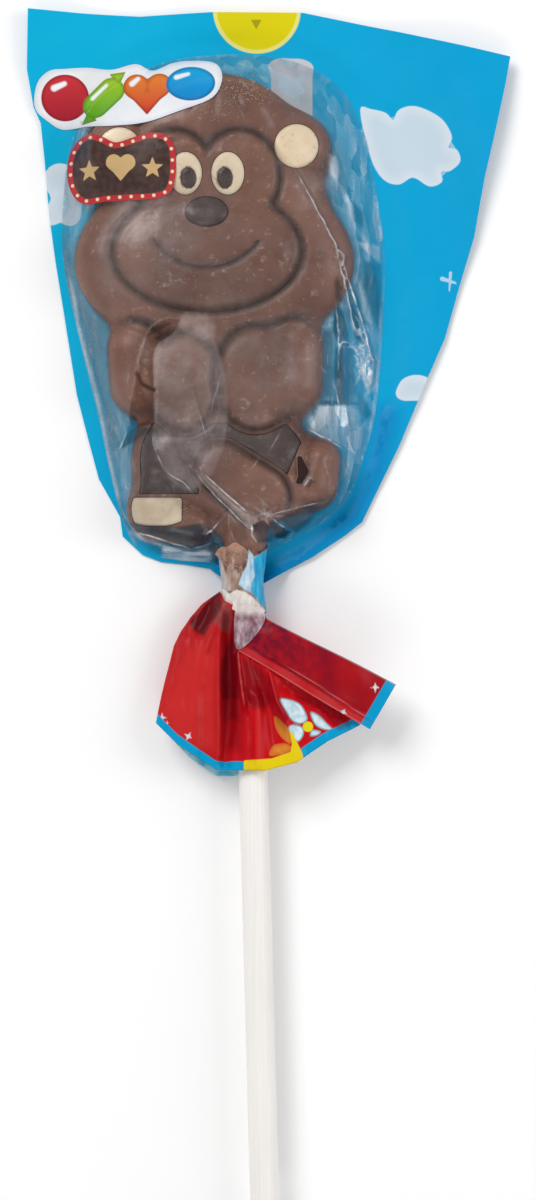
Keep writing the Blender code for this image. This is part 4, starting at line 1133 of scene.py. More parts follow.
def fold_distance(points, x, y):
    """Distance to a fold's line, and how full the fold is there: 0 at its ends, 1 in the middle."""
    line = np.array(points)
    gap, full = np.full(len(x), FAR_AWAY), np.zeros(len(x))
    low, high = line.min(axis=0) - 1.5, line.max(axis=0) + 1.5
    near = np.nonzero((x > low[0]) & (x < high[0]) & (y > low[1]) & (y < high[1]))[0]
    for k, (a, run) in enumerate(zip(line, np.diff(line, axis=0))):
        share = np.clip(((x[near] - a[0]) * run[0] + (y[near] - a[1]) * run[1]) / (run @ run), 0.0, 1.0)
        reach = np.hypot(x[near] - a[0] - share * run[0], y[near] - a[1] - share * run[1])
        closer = reach < gap[near]
        gap[near[closer]] = reach[closer]
        way = (k + share[closer]) / (len(line) - 1)
        full[near[closer]] = np.sqrt(np.clip(np.sin(math.pi * way), 0.0, 1.0))
    return gap, full


def product(tree, one, other):
    """One value times the other."""
    return step(tree, "Math", {0: one, 1: other}, operation="MULTIPLY").outputs[0]


def larger(tree, one, other):
    """The larger of two values."""
    return step(tree, "Math", {0: one, 1: other}, operation="MAXIMUM").outputs[0]


def between(tree, share, one, other):
    """One value or the other, by this share of the second."""
    return step(tree, "Mix", {"Factor": share, "A": one, "B": other}).outputs["Result"]


def facets(tree, size, stretch, turn=0.0):
    """A random value for each small face that creased film is broken into."""
    place = step(tree, "TexCoord", {}).outputs["Object"]
    bend = step(tree, "TexNoise", {"Vector": place, "Scale": 700.0 / size, "Detail": 3.0}).outputs["Color"]
    sway = 0.8 * size * MM
    bent = step(tree, "VectorMath", {0: bend, 1: (sway, sway, sway), 2: place}, operation="MULTIPLY_ADD")
    sockets = {"Vector": bent.outputs[0], "Scale": stretch, "Location": (turn, turn, turn)}
    placed = step(tree, "Mapping", sockets)
    cells = step(tree, "TexVoronoi", {"Vector": placed.outputs[0], "Scale": 1000.0 / size})
    return step(tree, "SeparateXYZ", {"Vector": cells.outputs["Color"]}).outputs["X"]


def crinkles(x, y):
    """Fine sharp folds, from 0 to 1. Off the figure they run up and down the bag."""
    aside = smooth_step(-0.5, 2.0, figure_outline(x, y))
    folds = np.zeros(np.shape(x))
    for size, share, turn in ((7.0, 0.5, 1.0), (3.2, 0.3, 2.0), (1.5, 0.2, 3.0)):
        slack = uneven(x, y, size, turn)
        drawn = uneven(2.4 * x, 0.45 * y, size, turn + 20.0)
        folds = folds + share * (1.0 - 2.2 * np.abs(slack * (1 - aside) + drawn * aside))
    return np.clip(folds, 0.0, 1.0)


def clear_level(x, y):
    """Height of the clear film with its folds."""
    held = smooth_step(0.0, 1.4, -pouch(x, y)) * smooth_step(-0.4, 1.2, labels(x, y))
    aside = smooth_step(-1.0, 1.5, figure_outline(x, y))
    rise = held * (0.06 + 0.42 * aside) * crinkles(x, y)
    for points, height, width, _ in bright_folds:
        rise = rise + held * height * np.exp(-((stroke(points)(x, y) / width) ** 2))
    for points, depth, width in dark_folds:
        rise = rise - held * aside * depth * np.exp(-((stroke(points)(x, y) / width) ** 2))
    return np.maximum(taut_level(x, y) + rise, panel_level(x, y) + 0.04)


clear_film, tree, shader = new_finish("creased_clear_film")
# its milky haze over the chocolate; beside it painted light and shade, its small faces from a shaded
# dark teal to a lit pale blue, greyer at the left; then the colour of the milky and highlight patches
small_face = facets(tree, 2.0, (1.0, 0.36, 1.0), 3.0)
crumple_face = facets(tree, 0.9, (1.0, 0.7, 1.0), 8.0)
facet_light_and_shade = blended(tree, spread(tree, small_face, 0.1, 0.9), (0.10, 0.24, 0.32), (0.28, 0.48, 0.60))
facet_light_and_shade = blended(tree, kept(tree, "greyed"), facet_light_and_shade, (0.15, 0.20, 0.24))
haze_and_painted_light = blended(tree, kept(tree, "aside"), (0.45, 0.37, 0.37), facet_light_and_shade)
haze_and_highlight_colour = blended(tree, kept(tree, "aside"), (0.55, 0.44, 0.42), (0.52, 0.55, 0.59))
haze_and_painted_light = blended(tree, kept(tree, "haze_and_highlight"), haze_and_painted_light, haze_and_highlight_colour)
# bright lines along the folds, broken up, and along the weld
broken = spread(tree, grain(tree, 2.2, 4.0, turn=21.0), 0.36, 0.60, 0.08, 1.0)
edge = spread(tree, kept(tree, "fold_gap"), -0.05, 0.12, 1.0, 0.0)
edge = product(tree, edge, kept(tree, "fold_shine"))
edge = product(tree, edge, broken)
edge = larger(tree, edge, kept(tree, "glint"))
# haze with painted glow and highlights: mottled over the chocolate, and in streaks and small faces
# beside it, the small faces lighter or darker as painted light and shade
streaks = spread(tree, grain(tree, 1.6, 5.0, stretch=(1.0, 0.14, 1.0), turn=6.0), 0.40, 0.70, 0.75, 1.5)
face_tone = spread(tree, small_face, 0.1, 0.9, 0.62, 1.45)
speckle = spread(tree, grain(tree, 0.5, 3.0, turn=17.0), 0.40, 0.60, 0.84, 1.14)
face_tone = between(tree, kept(tree, "greyed"), face_tone, speckle)
crumple_tone = spread(tree, crumple_face, 0.1, 0.9, 0.35, 1.75)
face_tone = between(tree, kept(tree, "crumpled"), face_tone, crumple_tone)
streaks = product(tree, streaks, face_tone)
mottle = spread(tree, grain(tree, 2.4, 6.0, turn=8.0), 0.38, 0.66, 0.72, 1.35)
ripple = between(tree, kept(tree, "aside"), mottle, streaks)
seen_haze_and_glow = product(tree, kept(tree, "film_haze_and_glow"), ripple)
shine = spread(tree, edge, 0.04, 1.0, 0.0, 0.85)
# brown where the film clings: streaks of painted light over the shaded chocolate, and painted shade
# where the gap lies deepest; and slate, painted shade, where a fold shades it
gap_painted_light = spread(tree, grain(tree, 1.4, 3.0, stretch=(1.0, 0.3, 1.0), turn=31.0), 0.40, 0.62, 0.05, 0.42)
brown = spread(tree, kept(tree, "clear_gap"), -0.22, 0.02, 1.0, 0.0)
brown = product(tree, brown, gap_painted_light)
deepest = spread(tree, kept(tree, "deep_brown"), 0.06, 0.50, 0.72, 0.0)
brown = larger(tree, brown, deepest)
dimmed = larger(tree, brown, kept(tree, "slate"))
film_colour = blended(tree, spread(tree, kept(tree, "slate"), 0.0, 0.3), haze_and_painted_light, (0.032, 0.042, 0.056))
film_colour = blended(tree, spread(tree, kept(tree, "slate"), 0.74, 0.92), film_colour, (0.008, 0.012, 0.020))
brown_tone = blended(tree, spread(tree, deepest, 0.05, 0.50), (0.120, 0.046, 0.028), (0.026, 0.009, 0.006))
film_colour = blended(tree, spread(tree, brown, 0.0, 0.2), film_colour, brown_tone)
film_colour = blended(tree, spread(tree, edge, 0.0, 0.25), film_colour, (0.76, 0.77, 0.80))
# glare over the foot, and painted near-black shade in the hole
glare_streaks = grain(tree, 1.3, 4.0, stretch=(0.35, 1.6, 1.0), turn=44.0)
glare_tone = blended(tree, spread(tree, glare_streaks, 0.38, 0.62), (0.22, 0.40, 0.52), (0.48, 0.54, 0.60))
glare = spread(tree, glare_streaks, 0.36, 0.56, 0.60, 0.92)
glare = product(tree, glare, kept(tree, "foot_glare"))
film_colour = blended(tree, kept(tree, "foot_glare"), film_colour, glare_tone)
hole_shade = spread(tree, kept(tree, "hole"), -0.06, 0.14, 0.97, 0.0)
film_colour = blended(tree, hole_shade, film_colour, (0.018, 0.006, 0.004))
tree.links.new(spread(tree, hole_shade, 0.0, 0.9, 0.6, 0.1), shader.inputs["Specular IOR Level"])
tree.links.new(film_colour, shader.inputs["Base Color"])
# how much of the film is seen
shown = larger(tree, seen_haze_and_glow, dimmed)
shown = larger(tree, shown, glare)
shown = step(tree, "Math", {0: shown, 1: shine}, operation="ADD", use_clamp=True).outputs[0]
shown = larger(tree, shown, hole_shade)
tree.links.new(shown, shader.inputs["Alpha"])
dulled = spread(tree, grain(tree, 3.0, 4.0, turn=12.0), 0.3, 0.7, 0.22, 0.38)
tree.links.new(dulled, shader.inputs["Roughness"])
shader.inputs["Metallic"].default_value = 0.15
bumped(tree, shader, grain(tree, 1.5, 2.0, turn=14.0), 0.07)

FILM_SPACING = 0.34
film_outline = evenly(contour(pouch, 0.4, step=0.4, **ROUND_POUCH), 0.5)
hole_edge = evenly(hole_line, 0.2)
fold_lines = [points for points, *_ in bright_folds + fine_folds]
fold_lines += [hole_edge + hole_edge[:1], evenly(LEFT_WELD, 0.4, closed=False)]
for level in (0.0, 0.7):
    ring = evenly(contour(figure_outline, level), 0.5)
    fold_lines += kept_runs(ring, lambda x, y: pouch(x, y) < -0.3)
film_plan, film_triangles = filled(film_outline, fold_lines, FILM_SPACING)
film_x, film_y = film_plan.T
film_points = np.column_stack([film_x, film_y, clear_level(film_x, film_y)])
film = piece("clear_front", film_points, film_triangles, clear_film, sharp=65)

# Painted light on the folds: a highlight along each edge, a glow round it, and painted shade beside a tall
# fold
TALL_FOLD = 0.14  # a fold higher than this shines only along its edge, and throws a shade
EDGE_SHARE = 0.34  # the part of its width that shines
SHADE_ASIDE = (0.42, -0.30)  # where its shade falls, away from the light at the upper left
off_figure = smooth_step(-0.6, 1.2, figure_outline(film_x, film_y))
fold_gap, fold_shine = np.full(len(film_x), FAR_AWAY), np.zeros(len(film_x))
halo, fold_shade = np.zeros(len(film_x)), np.zeros(len(film_x))
for points, height, width, shine in bright_folds + fine_folds:
    gap, full = fold_distance(points, film_x, film_y)
    line_width = (EDGE_SHARE if height > TALL_FOLD else 1.0) * width * full
    nearer = gap - line_width < fold_gap
    fold_shine = np.where(nearer, shine * full, fold_shine)
    fold_gap = np.where(nearer, gap - line_width, fold_gap)
    halo = np.maximum(halo, shine * full * np.exp(-((gap / 0.42) ** 2)))
    if height > TALL_FOLD:
        cast, cast_full = fold_distance(points, film_x - SHADE_ASIDE[0], film_y - SHADE_ASIDE[1])
        fold_shade = np.maximum(fold_shade, 0.6 * shine * cast_full * np.exp(-((cast / 0.30) ** 2)))
weld = stroke(LEFT_WELD)(film_x, film_y)
weld_full = smooth_step(54.0, 48.0, film_y) * smooth_step(14.0, 18.0, film_y)
glint = 0.24 * weld_full * np.exp(-((weld / 0.42) ** 2)) * (0.8 + 0.5 * uneven(film_x, film_y, 3.0, 33.0))
haze_and_highlight = strongest(haze_and_highlight_patches, film_x, film_y)
slate = np.maximum(fold_shade, strongest(slate_patches, film_x, film_y))
leftward = smooth_step(-21.0, -25.0, film_x) * smooth_step(62.0, 50.0, film_y) * off_figure
# the film's haze, plus painted highlight patches, a painted glow round the folds and crinkle highlights
film_haze_and_glow = 0.065 + 0.165 * off_figure + 0.05 * uneven(film_x, film_y, 9.0, 40.0) + haze_and_highlight + 0.16 * halo
film_haze_and_glow = film_haze_and_glow + (0.04 + 0.18 * off_figure) * crinkles(film_x, film_y) ** 4 + 0.26 * leftward
for field in (clear_gap, clear_hole, clean_corner):
    film_haze_and_glow = film_haze_and_glow * (1 - 0.9 * smooth_step(0.25, -0.15, field(film_x, film_y)))
fold_shine = fold_shine * smooth_step(0.0, 0.15, clear_hole(film_x, film_y))
for name, values in (
    ("aside", off_figure),
    ("glint", np.clip(glint, 0.0, 1.0)),
    ("fold_gap", fold_gap),
    ("fold_shine", fold_shine),
    ("haze_and_highlight", np.clip(3.0 * haze_and_highlight, 0.0, 1.0)),
    ("slate", slate),
    ("greyed", leftward),
    ("foot_glare", smooth_step(0.3, -0.3, foot_glare(film_x, film_y))),
    ("crumpled", smooth_step(0.5, -0.8, crumpled_place(film_x, film_y))),
    ("clear_gap", clear_gap(film_x, film_y)),
    ("deep_brown", deep_brown(film_x, film_y)),
    ("hole", clear_hole(film_x, film_y)),
    ("film_haze_and_glow", np.clip(film_haze_and_glow, 0.01, 1.0)),
):
    keep_value(film, name, values)
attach(film, LOLLIPOP)
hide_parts("clear_pouch")

# 7. The labels on the bag's front
# Two plain labels are printed on the front film at its upper left: a white cloud of coloured sweets, and a
# brown plaque with a red rim, cream dots and a heart between two stars. Their ink stands up a little.

INK_THICKNESS = 0.04


def label_level(x, y):
    """Height of the bag's front, and a hair more."""
    return np.where(pouch(x, y) < 0.9, clear_level(x, y), panel_level(x, y) + 0.05) + 0.09


def heart(centre, size):
    """Distance to a heart."""
    x0, y0 = centre
    lobes = [ellipse((x0 + s * 0.46 * size, y0 + 0.25 * size), (0.52 * size, 0.52 * size)) for s in (-1, 1)]
    shoulder = y0 + 0.08 * size
    point = polygon([(x0 - 0.93 * size, shoulder), (x0, y0 - 1.0 * size), (x0 + 0.93 * size, shoulder)])
    return joined(0.15 * size, point, *lobes)


def label(name, line, fields, finish, spacing):
    """A printed label with this outline, that keeps the distance to each form of its print."""
    underside = lambda x, y: label_level(x, y) - INK_THICKNESS
    made = slab(name, evenly(line, 0.45), label_level, underside, finish, spacing=spacing)
    for field_name, field in fields.items():
        keep_value(made, field_name, field(*plan_of(made)))
    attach(made, LOLLIPOP)


sweets = {
    "edge": badge,
    "red_sweet": ellipse((-31.5, 78.3), (3.7, 3.6)),
    "red_shine": limb((-33.2, 79.8), (-31.6, 80.5), 0.50, 0.36),
    "green_sweet": any_of(
        limb((-26.7, 77.0), (-24.3, 79.4), 2.05, 2.05),
        polygon([(-28.0, 76.0), (-29.0, 74.0), (-26.4, 74.5)]),
        polygon([(-23.1, 80.4), (-22.1, 82.4), (-24.7, 82.0)]),
    ),
    "green_shine": limb((-27.3, 78.2), (-25.1, 80.3), 0.30, 0.24),
    "orange_sweet": heart((-18.7, 79.0), 3.85),
    "orange_shine": limb((-21.1, 80.4), (-20.2, 81.2), 0.46, 0.34),
    "blue_sweet": ellipse((-12.0, 80.1), (3.8, 2.85)),
    "blue_shine": limb((-14.2, 81.2), (-12.4, 81.7), 0.42, 0.30),
}
sweets_ink, tree, shader = new_finish("label_ink_sweets")
ink = blended(tree, spread(tree, grain(tree, 6.0, 3.0), 0.35, 0.65), (0.70, 0.71, 0.74), (0.78, 0.79, 0.81))
ink = blended(tree, spread(tree, kept(tree, "edge"), -0.75, -0.1, 0.0, 0.5), ink, (0.50, 0.56, 0.66))
fade = spread(tree, place_along(tree, "Y"), 0.0755, 0.0825)
for sweet, top_colour, low_colour in (
    ("red", (0.56, 0.035, 0.045), (0.36, 0.015, 0.03)),
    ("green", (0.36, 0.55, 0.02), (0.10, 0.36, 0.02)),
    ("orange", (0.78, 0.22, 0.015), (0.52, 0.035, 0.02)),
    ("blue", (0.01, 0.34, 0.66), (0.0, 0.14, 0.44)),
):
    colour = blended(tree, fade, low_colour, top_colour)
    rim_shade = spread(tree, kept(tree, f"{sweet}_sweet"), -0.60, -0.05, 0.0, 0.60)
    colour = blended(tree, rim_shade, colour, tuple(0.45 * part for part in low_colour))
    ink = print_over(tree, ink, f"{sweet}_sweet", colour, 0.06)
    ink = print_over(tree, ink, f"{sweet}_shine", (0.80, 0.82, 0.84), 0.15)
tree.links.new(ink, shader.inputs["Base Color"])
film_gloss(tree, shader, 0.32)
label("sweets_label", badge_line, sweets, sweets_ink, 0.24)

rim_dots = any_of(*[ellipse(p, (0.27, 0.27)) for p in evenly(contour(plaque, -0.55), 1.75)])
plaque_print = {
    "edge": plaque,
    "dots": rim_dots,
    "motif": any_of(
        heart((-22.7, 67.2), 2.3), star((-27.6, 66.6), 1.75, 0.75), star((-17.8, 66.8), 1.75, 0.75),
    ),
}
plaque_ink, tree, shader = new_finish("label_ink_plaque")
mottle = spread(tree, grain(tree, 1.2, 4.0), 0.4, 0.65)
ink = blended(tree, mottle, (0.045, 0.025, 0.022), (0.075, 0.042, 0.036))
ink = blended(tree, spread(tree, kept(tree, "edge"), -0.95, -0.85), ink, (0.42, 0.028, 0.035))
ink = print_over(tree, ink, "dots", (0.72, 0.60, 0.38), 0.05)
ink = print_over(tree, ink, "motif", (0.52, 0.35, 0.16), 0.05)
tree.links.new(ink, shader.inputs["Base Color"])
film_gloss(tree, shader, 0.34)
label("plaque_label", plaque_line, plaque_print, plaque_ink, 0.16)

# 8. The neck and the crumbs
# Below the chocolate the bag is gathered tight round the stick. Clear and printed film lie in small folds,
# milky at the foot. Crumbs broken off the casting are packed into it, and others lie under the film above.

NECK_TOP, NECK_FOOT = 9.0, -1.5
NECK_SIDES, NECK_ROWS = 220, 70
# The lower edge of the neck's front, which laps over the skirt
FRONT_FOOT = [(-7.8, 2.4), (-7.1, 0.7), (-6.3, 0.1), (-5.5, -0.9), (-4.4, -1.2), (-0.7, -1.3)]


def neck_point(down, a):
    """A point of the neck: down runs from its top, 0, to its foot, 1."""
    front = float(smooth_step(-0.1, 0.3, math.sin(a)))
    foot_x = stick_x(0.0) - NECK_ASIDE + NECK_RADIUS * math.cos(a)
    foot = NECK_FOOT + front * (np.interp(foot_x, *np.array(FRONT_FOOT).T) - NECK_FOOT)
    y = NECK_TOP + (foot - NECK_TOP) * down
    folds = 0.15 * math.cos(9 * a + 2.2 * down) + 0.09 * math.cos(19 * a - 3.5 * down + 1.0)
    folds += 0.10 * noise.noise(Vector((3.0 * math.cos(a), 3.0 * math.sin(a), 0.5 * y)))
    radius = 3.22 - 0.25 * math.cos(a) + 0.11 * max(y - 3.5, 0.0) + 0.22 * down**4
    reach = radius + folds * (0.6 + 0.4 * math.cos(6.0 * down))
    x = stick_x(y) - NECK_ASIDE + reach * math.cos(a)
    return (x, y + 0.12 * math.cos(5 * a), STICK_Z + reach * math.sin(a))


# The parts of the neck's film, as they lie over one another on its front
neck_parts = {
    "milky_margin": polygon([(-8.6, 7.4), (-7.2, 6.6), (-6.4, 4.2), (-5.7, 2.0), (-7.2, 1.5), (-8.1, 3.6)]),
    "milky_throat": polygon([
        (-7.0, 5.6), (-5.6, 5.0), (-4.2, 4.6), (-3.6, 2.6), (-5.0, 1.4), (-6.4, 1.2), (-7.2, 3.0),
    ]),
    "milky_foot": polygon([
        (-8.0, 2.7), (-6.9, 2.2), (-6.0, 1.6), (-4.9, 2.2), (-3.6, 1.8), (-2.4, 1.0), (-0.4, -1.0),
        (-0.1, -1.9), (-4.4, -1.9), (-8.4, -1.3),
    ]),
    "pale_blue": polygon([
        (-3.1, 8.5), (-2.3, 7.4), (-2.1, 4.1), (-2.6, 3.2), (-2.7, 1.6), (-3.6, 2.1), (-4.7, 2.9),
        (-4.3, 4.1), (-3.3, 6.1),
    ]),
    "deep_blue": polygon([
        (-2.4, 6.9), (-0.2, 8.5), (0.5, -1.3), (-1.0, -0.4), (-2.7, 1.8), (-2.6, 3.2), (-2.2, 4.1),
    ]),
}
turns = np.arange(NECK_SIDES) * 2 * math.pi / NECK_SIDES
neck_points = [neck_point(r / (NECK_ROWS - 1), a) for r in range(NECK_ROWS) for a in turns]
neck_film, tree, shader = new_finish("gathered_neck_film")
folds = grain(tree, 0.9, 5.0, stretch=(1.0, 0.45, 1.0), turn=3.0)
fold_tone = spread(tree, folds, 0.36, 0.64)
film_colour = blended(tree, fold_tone, (0.50, 0.34, 0.28), (0.80, 0.62, 0.53))
cover = spread(tree, folds, 0.5, 0.70, 0.06, 0.45)
cover = product(tree, cover, kept(tree, "covering"))
for name, low, high, opacity, soft in (
    ("milky_throat", (0.34, 0.20, 0.15), (0.74, 0.54, 0.44), 0.62, 1.1),
    ("milky_margin", (0.56, 0.46, 0.45), (0.76, 0.68, 0.66), 0.66, 0.14),
    ("milky_foot", (0.60, 0.53, 0.49), (0.80, 0.75, 0.70), 0.94, 0.14),
    ("pale_blue", (0.22, 0.46, 0.66), (0.62, 0.76, 0.84), 0.90, 0.14),
    ("deep_blue", (0.0, 0.26, 0.54), (0.0, 0.40, 0.66), 1.0, 0.14),
):
    within = spread(tree, kept(tree, name), -soft, 0.06, 1.0, 0.0)
    film_colour = blended(tree, within, film_colour, blended(tree, fold_tone, low, high))
    cover = between(tree, within, cover, opacity)
back_tone = blended(tree, fold_tone, (0.0, 0.28, 0.56), (0.0, 0.40, 0.66))
film_colour = blended(tree, kept(tree, "behind"), film_colour, back_tone)
cover = larger(tree, cover, kept(tree, "behind"))
tree.links.new(film_colour, shader.inputs["Base Color"])
tree.links.new(cover, shader.inputs["Alpha"])
film_gloss(tree, shader, 0.30, gloss=0.3)
neck = piece("gathered_neck", neck_points, ring_faces(NECK_ROWS, NECK_SIDES), neck_film, sharp=70)
neck_x, neck_y = plan_of(neck)
in_front = np.tile(np.sin(turns) > 0.0, NECK_ROWS)
for name, field in neck_parts.items():
    keep_value(neck, name, np.where(in_front, field(neck_x, neck_y), FAR_AWAY))
keep_value(neck, "behind", np.tile(smooth_step(0.05, -0.1, np.sin(turns)), NECK_ROWS))
keep_value(neck, "covering", smooth_step(NECK_TOP, NECK_TOP - 2.4, neck_y))
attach(neck, LOLLIPOP)
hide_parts("printed_wrapper")

HEAP_RADIUS = 2.66
heap_line = rounded([
    (-8.2, 7.6), (-7.5, 8.6), (-6.3, 8.8), (-5.2, 9.4), (-4.2, 8.9), (-3.4, 8.3), (-2.8, 7.2), (-3.2, 6.0),
    (-4.0, 4.1), (-4.6, 2.4), (-5.5, 1.6), (-6.4, 3.2), (-7.2, 5.5), (-7.6, 7.0),
])


def heap_floor(x, y):
    """Height of the stem and the stick, on which the crumbs lie."""
    over_stick = STICK_Z + np.sqrt(np.maximum(STICK_RADIUS**2 - (x - stick_x(y)) ** 2, 0.0))
    return np.where(figure_outline(x, y) < 0.1, chocolate_front(x, y), over_stick) + 0.04


def heap_level(x, y):
    """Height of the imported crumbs."""
    aside = x - stick_x(y) + 0.7 * NECK_ASIDE
    held = STICK_Z + np.sqrt(np.maximum(HEAP_RADIUS**2 - aside**2, 0.5))
    lumps = 0.22 * uneven(x, y, 1.1, 80.0) + 0.22 * np.abs(uneven(x, y, 0.7, 81.0))
    return np.maximum(held, heap_floor(x, y) + 0.08) + lumps + 0.12


crumb_brown = chocolate(
    "broken_milk_chocolate", (0.13, 0.052, 0.034), (0.48, 0.27, 0.19), (0.68, 0.47, 0.37), 0.0, 0.6
)
heap = slab("packed_crumbs", heap_line, heap_level, heap_floor, crumb_brown, spacing=0.2)
keep_value(heap, "pressed", np.zeros(len(heap.data.vertices)))
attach(heap, LOLLIPOP)

# Loose crumbs: the middle of each scatter, its half size, the number of its crumbs, and their smallest and
# largest half size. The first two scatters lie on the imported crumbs, the others on the figure.
ON_HEAP = 2
crumb_scatters = [
    ((-5.6, 6.4), (2.5, 3.0), 130, 0.12, 0.36),
    ((-5.4, 3.6), (1.3, 1.8), 50, 0.10, 0.30),
    ((-4.4, 79.2), (4.2, 2.9), 210, 0.10, 0.27),
    ((-1.2, 77.4), (2.8, 2.2), 50, 0.07, 0.18),
    ((-8.6, 75.6), (2.6, 1.6), 50, 0.08, 0.20),
    ((-2.0, 60.2), (2.6, 1.2), 14, 0.05, 0.12),
    ((7.2, 40.4), (2.2, 1.6), 34, 0.06, 0.16),
    ((5.0, 45.6), (1.6, 1.4), 10, 0.05, 0.12),
    ((-6.4, 22.4), (2.6, 1.5), 34, 0.06, 0.18),
    ((-12.8, 14.2), (0.9, 1.6), 26, 0.08, 0.20),
    ((-19.6, 18.0), (2.4, 2.2), 12, 0.04, 0.10),
]
random, tones = np.random.default_rng(11), np.random.default_rng(12)
heap_edge = polygon(heap_line)
crumb_points, crumb_faces, crumb_shades = [], [], []
cube = [(a, b, c) for c in (-1, 1) for a, b in ((-1, -1), (1, -1), (1, 1), (-1, 1))]
cube_faces = [(3, 2, 1, 0), (4, 5, 6, 7), (0, 1, 5, 4), (1, 2, 6, 5), (2, 3, 7, 6), (3, 0, 4, 7)]
for number, (middle, half, count, smallest, largest) in enumerate(crumb_scatters):
    x = middle[0] + half[0] * np.clip(random.normal(0.0, 0.5, count), -1.0, 1.0)
    y = middle[1] + half[1] * np.clip(random.normal(0.0, 0.5, count), -1.0, 1.0)
    packed = number < ON_HEAP
    z = heap_level(x, y) if packed else chocolate_front(x, y) + 0.05
    for place in zip(x, y, z):
        size = random.uniform(smallest, largest)
        if packed and heap_edge(*place[:2]) > -0.15:
            continue
        first = len(crumb_points)
        for corner in cube:
            crumb_points.append(tuple(np.array(place) + size * random.uniform(0.35, 1.0, 3) * corner))
        crumb_faces += [tuple(first + k for k in face) for face in cube_faces]
        crumb_shades += [0.2 * packed + tones.uniform(0.0, 1.0 - 0.4 * packed) ** 1.5] * len(cube)
crumb_tan = chocolate("loose_crumbs", (0.30, 0.18, 0.12), (0.44, 0.28, 0.20), (0.58, 0.41, 0.31), 0.8, 0.6)
crumbs = piece("crumbs", crumb_points, crumb_faces, crumb_tan, sharp=20)
keep_value(crumbs, "pressed", crumb_shades)
rounding = crumbs.modifiers.new("rounding", "SUBSURF")
rounding.levels = rounding.render_levels = 1
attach(crumbs, LOLLIPOP)

# 9. The skirt
# Below the neck the bag's end fans out into a pleated skirt of red printed film with a blue and yellow hem
# and a small flower. It is a flattened tube round the stick, and its front lies in a few deep folds.

SKIRT_LEFT = [
    (-7.5, 1.9), (-10.3, -0.1), (-12.0, -2.1), (-13.6, -4.4), (-14.6, -6.5), (-16.5, -14.0), (-17.4, -18.4),
]
SKIRT_RIGHT = [(-0.9, -1.2), (1.2, -4.7), (6.4, -10.0), (14.2, -18.7)]
SKIRT_NECK = [(-7.5, 1.9), (-6.9, 0.5), (-5.7, -0.1), (-3.5, -0.2), (-0.9, -1.2)]
HEM = [
    (-17.4, -18.4), (-14.2, -21.5), (-8.0, -25.6), (-0.6, -25.7), (4.4, -24.4), (9.1, -21.2), (14.2, -18.7),
]
HEM_SHARES = (0.0, 0.12, 0.3, 0.5, 0.66, 0.82, 1.0)
SKIRT_HALF_HEIGHT = 3.45
STICK_GAP = 0.35
SKIRT_SIDES, SKIRT_ROWS = 420, 92
# Folds of the front, as lines with a depth or height and a half width
valleys = [
    ([(-5.7, -0.7), (-6.1, -5.7), (-6.0, -11.9), (-6.1, -18.4), (-6.7, -24.9)], 1.25, 0.95),
    ([(-2.1, -8.0), (-1.0, -13.1), (0.4, -17.1), (1.3, -22.4)], 0.75, 0.85),
    ([(-4.7, -3.3), (-4.9, -7.5)], 0.7, 0.5),
    ([(-7.5, 1.5), (-9.2, -1.3), (-10.6, -4.1)], 1.0, 1.0),
    ([(2.7, -12.8), (7.7, -15.9), (12.3, -18.7)], 0.6, 0.9),
    ([(-3.5, -13.4), (-2.7, -19.6), (-2.6, -24.3)], 0.35, 0.4),
    ([(-9.8, -13.4), (-10.0, -19.6), (-10.2, -24.3)], 0.25, 0.6),
]
ridges = [
    ([(-4.7, -7.5), (-4.4, -10.8), (-3.8, -15.0), (-3.4, -16.7)], 0.8, 0.28),
    ([(-3.4, -16.0), (-3.3, -24.6)], 0.5, 0.75),
    ([(-1.8, -14.0), (-1.6, -19.3), (-1.6, -24.9)], 0.55, 0.6),
    ([(-10.2, -5.7), (-11.9, -13.4), (-12.8, -21.9)], 0.7, 2.4),
    ([(-7.2, -1.3), (-7.7, -7.2), (-7.8, -13.4), (-7.7, -23.6)], 0.6, 0.5),
    ([(0.2, -10.6), (1.3, -15.0), (2.6, -17.4)], 0.5, 0.35),
    ([(-6.6, 0.5), (-8.3, -3.5), (-9.5, -6.9)], 0.6, 0.55),
    ([(-13.1, -5.7), (-15.0, -13.4), (-15.9, -18.8)], 0.35, 0.5),
]


def along_line(points, share, shares=None):
    """The point at this share of a line's length, or between these shares of its corners."""
    line = np.array(points)
    if shares is None:
        run = np.concatenate([[0.0], np.cumsum(np.hypot(*np.diff(line, axis=0).T))])
        shares = run / run[-1]
    return np.array([np.interp(share, shares, line[:, 0]), np.interp(share, shares, line[:, 1])])


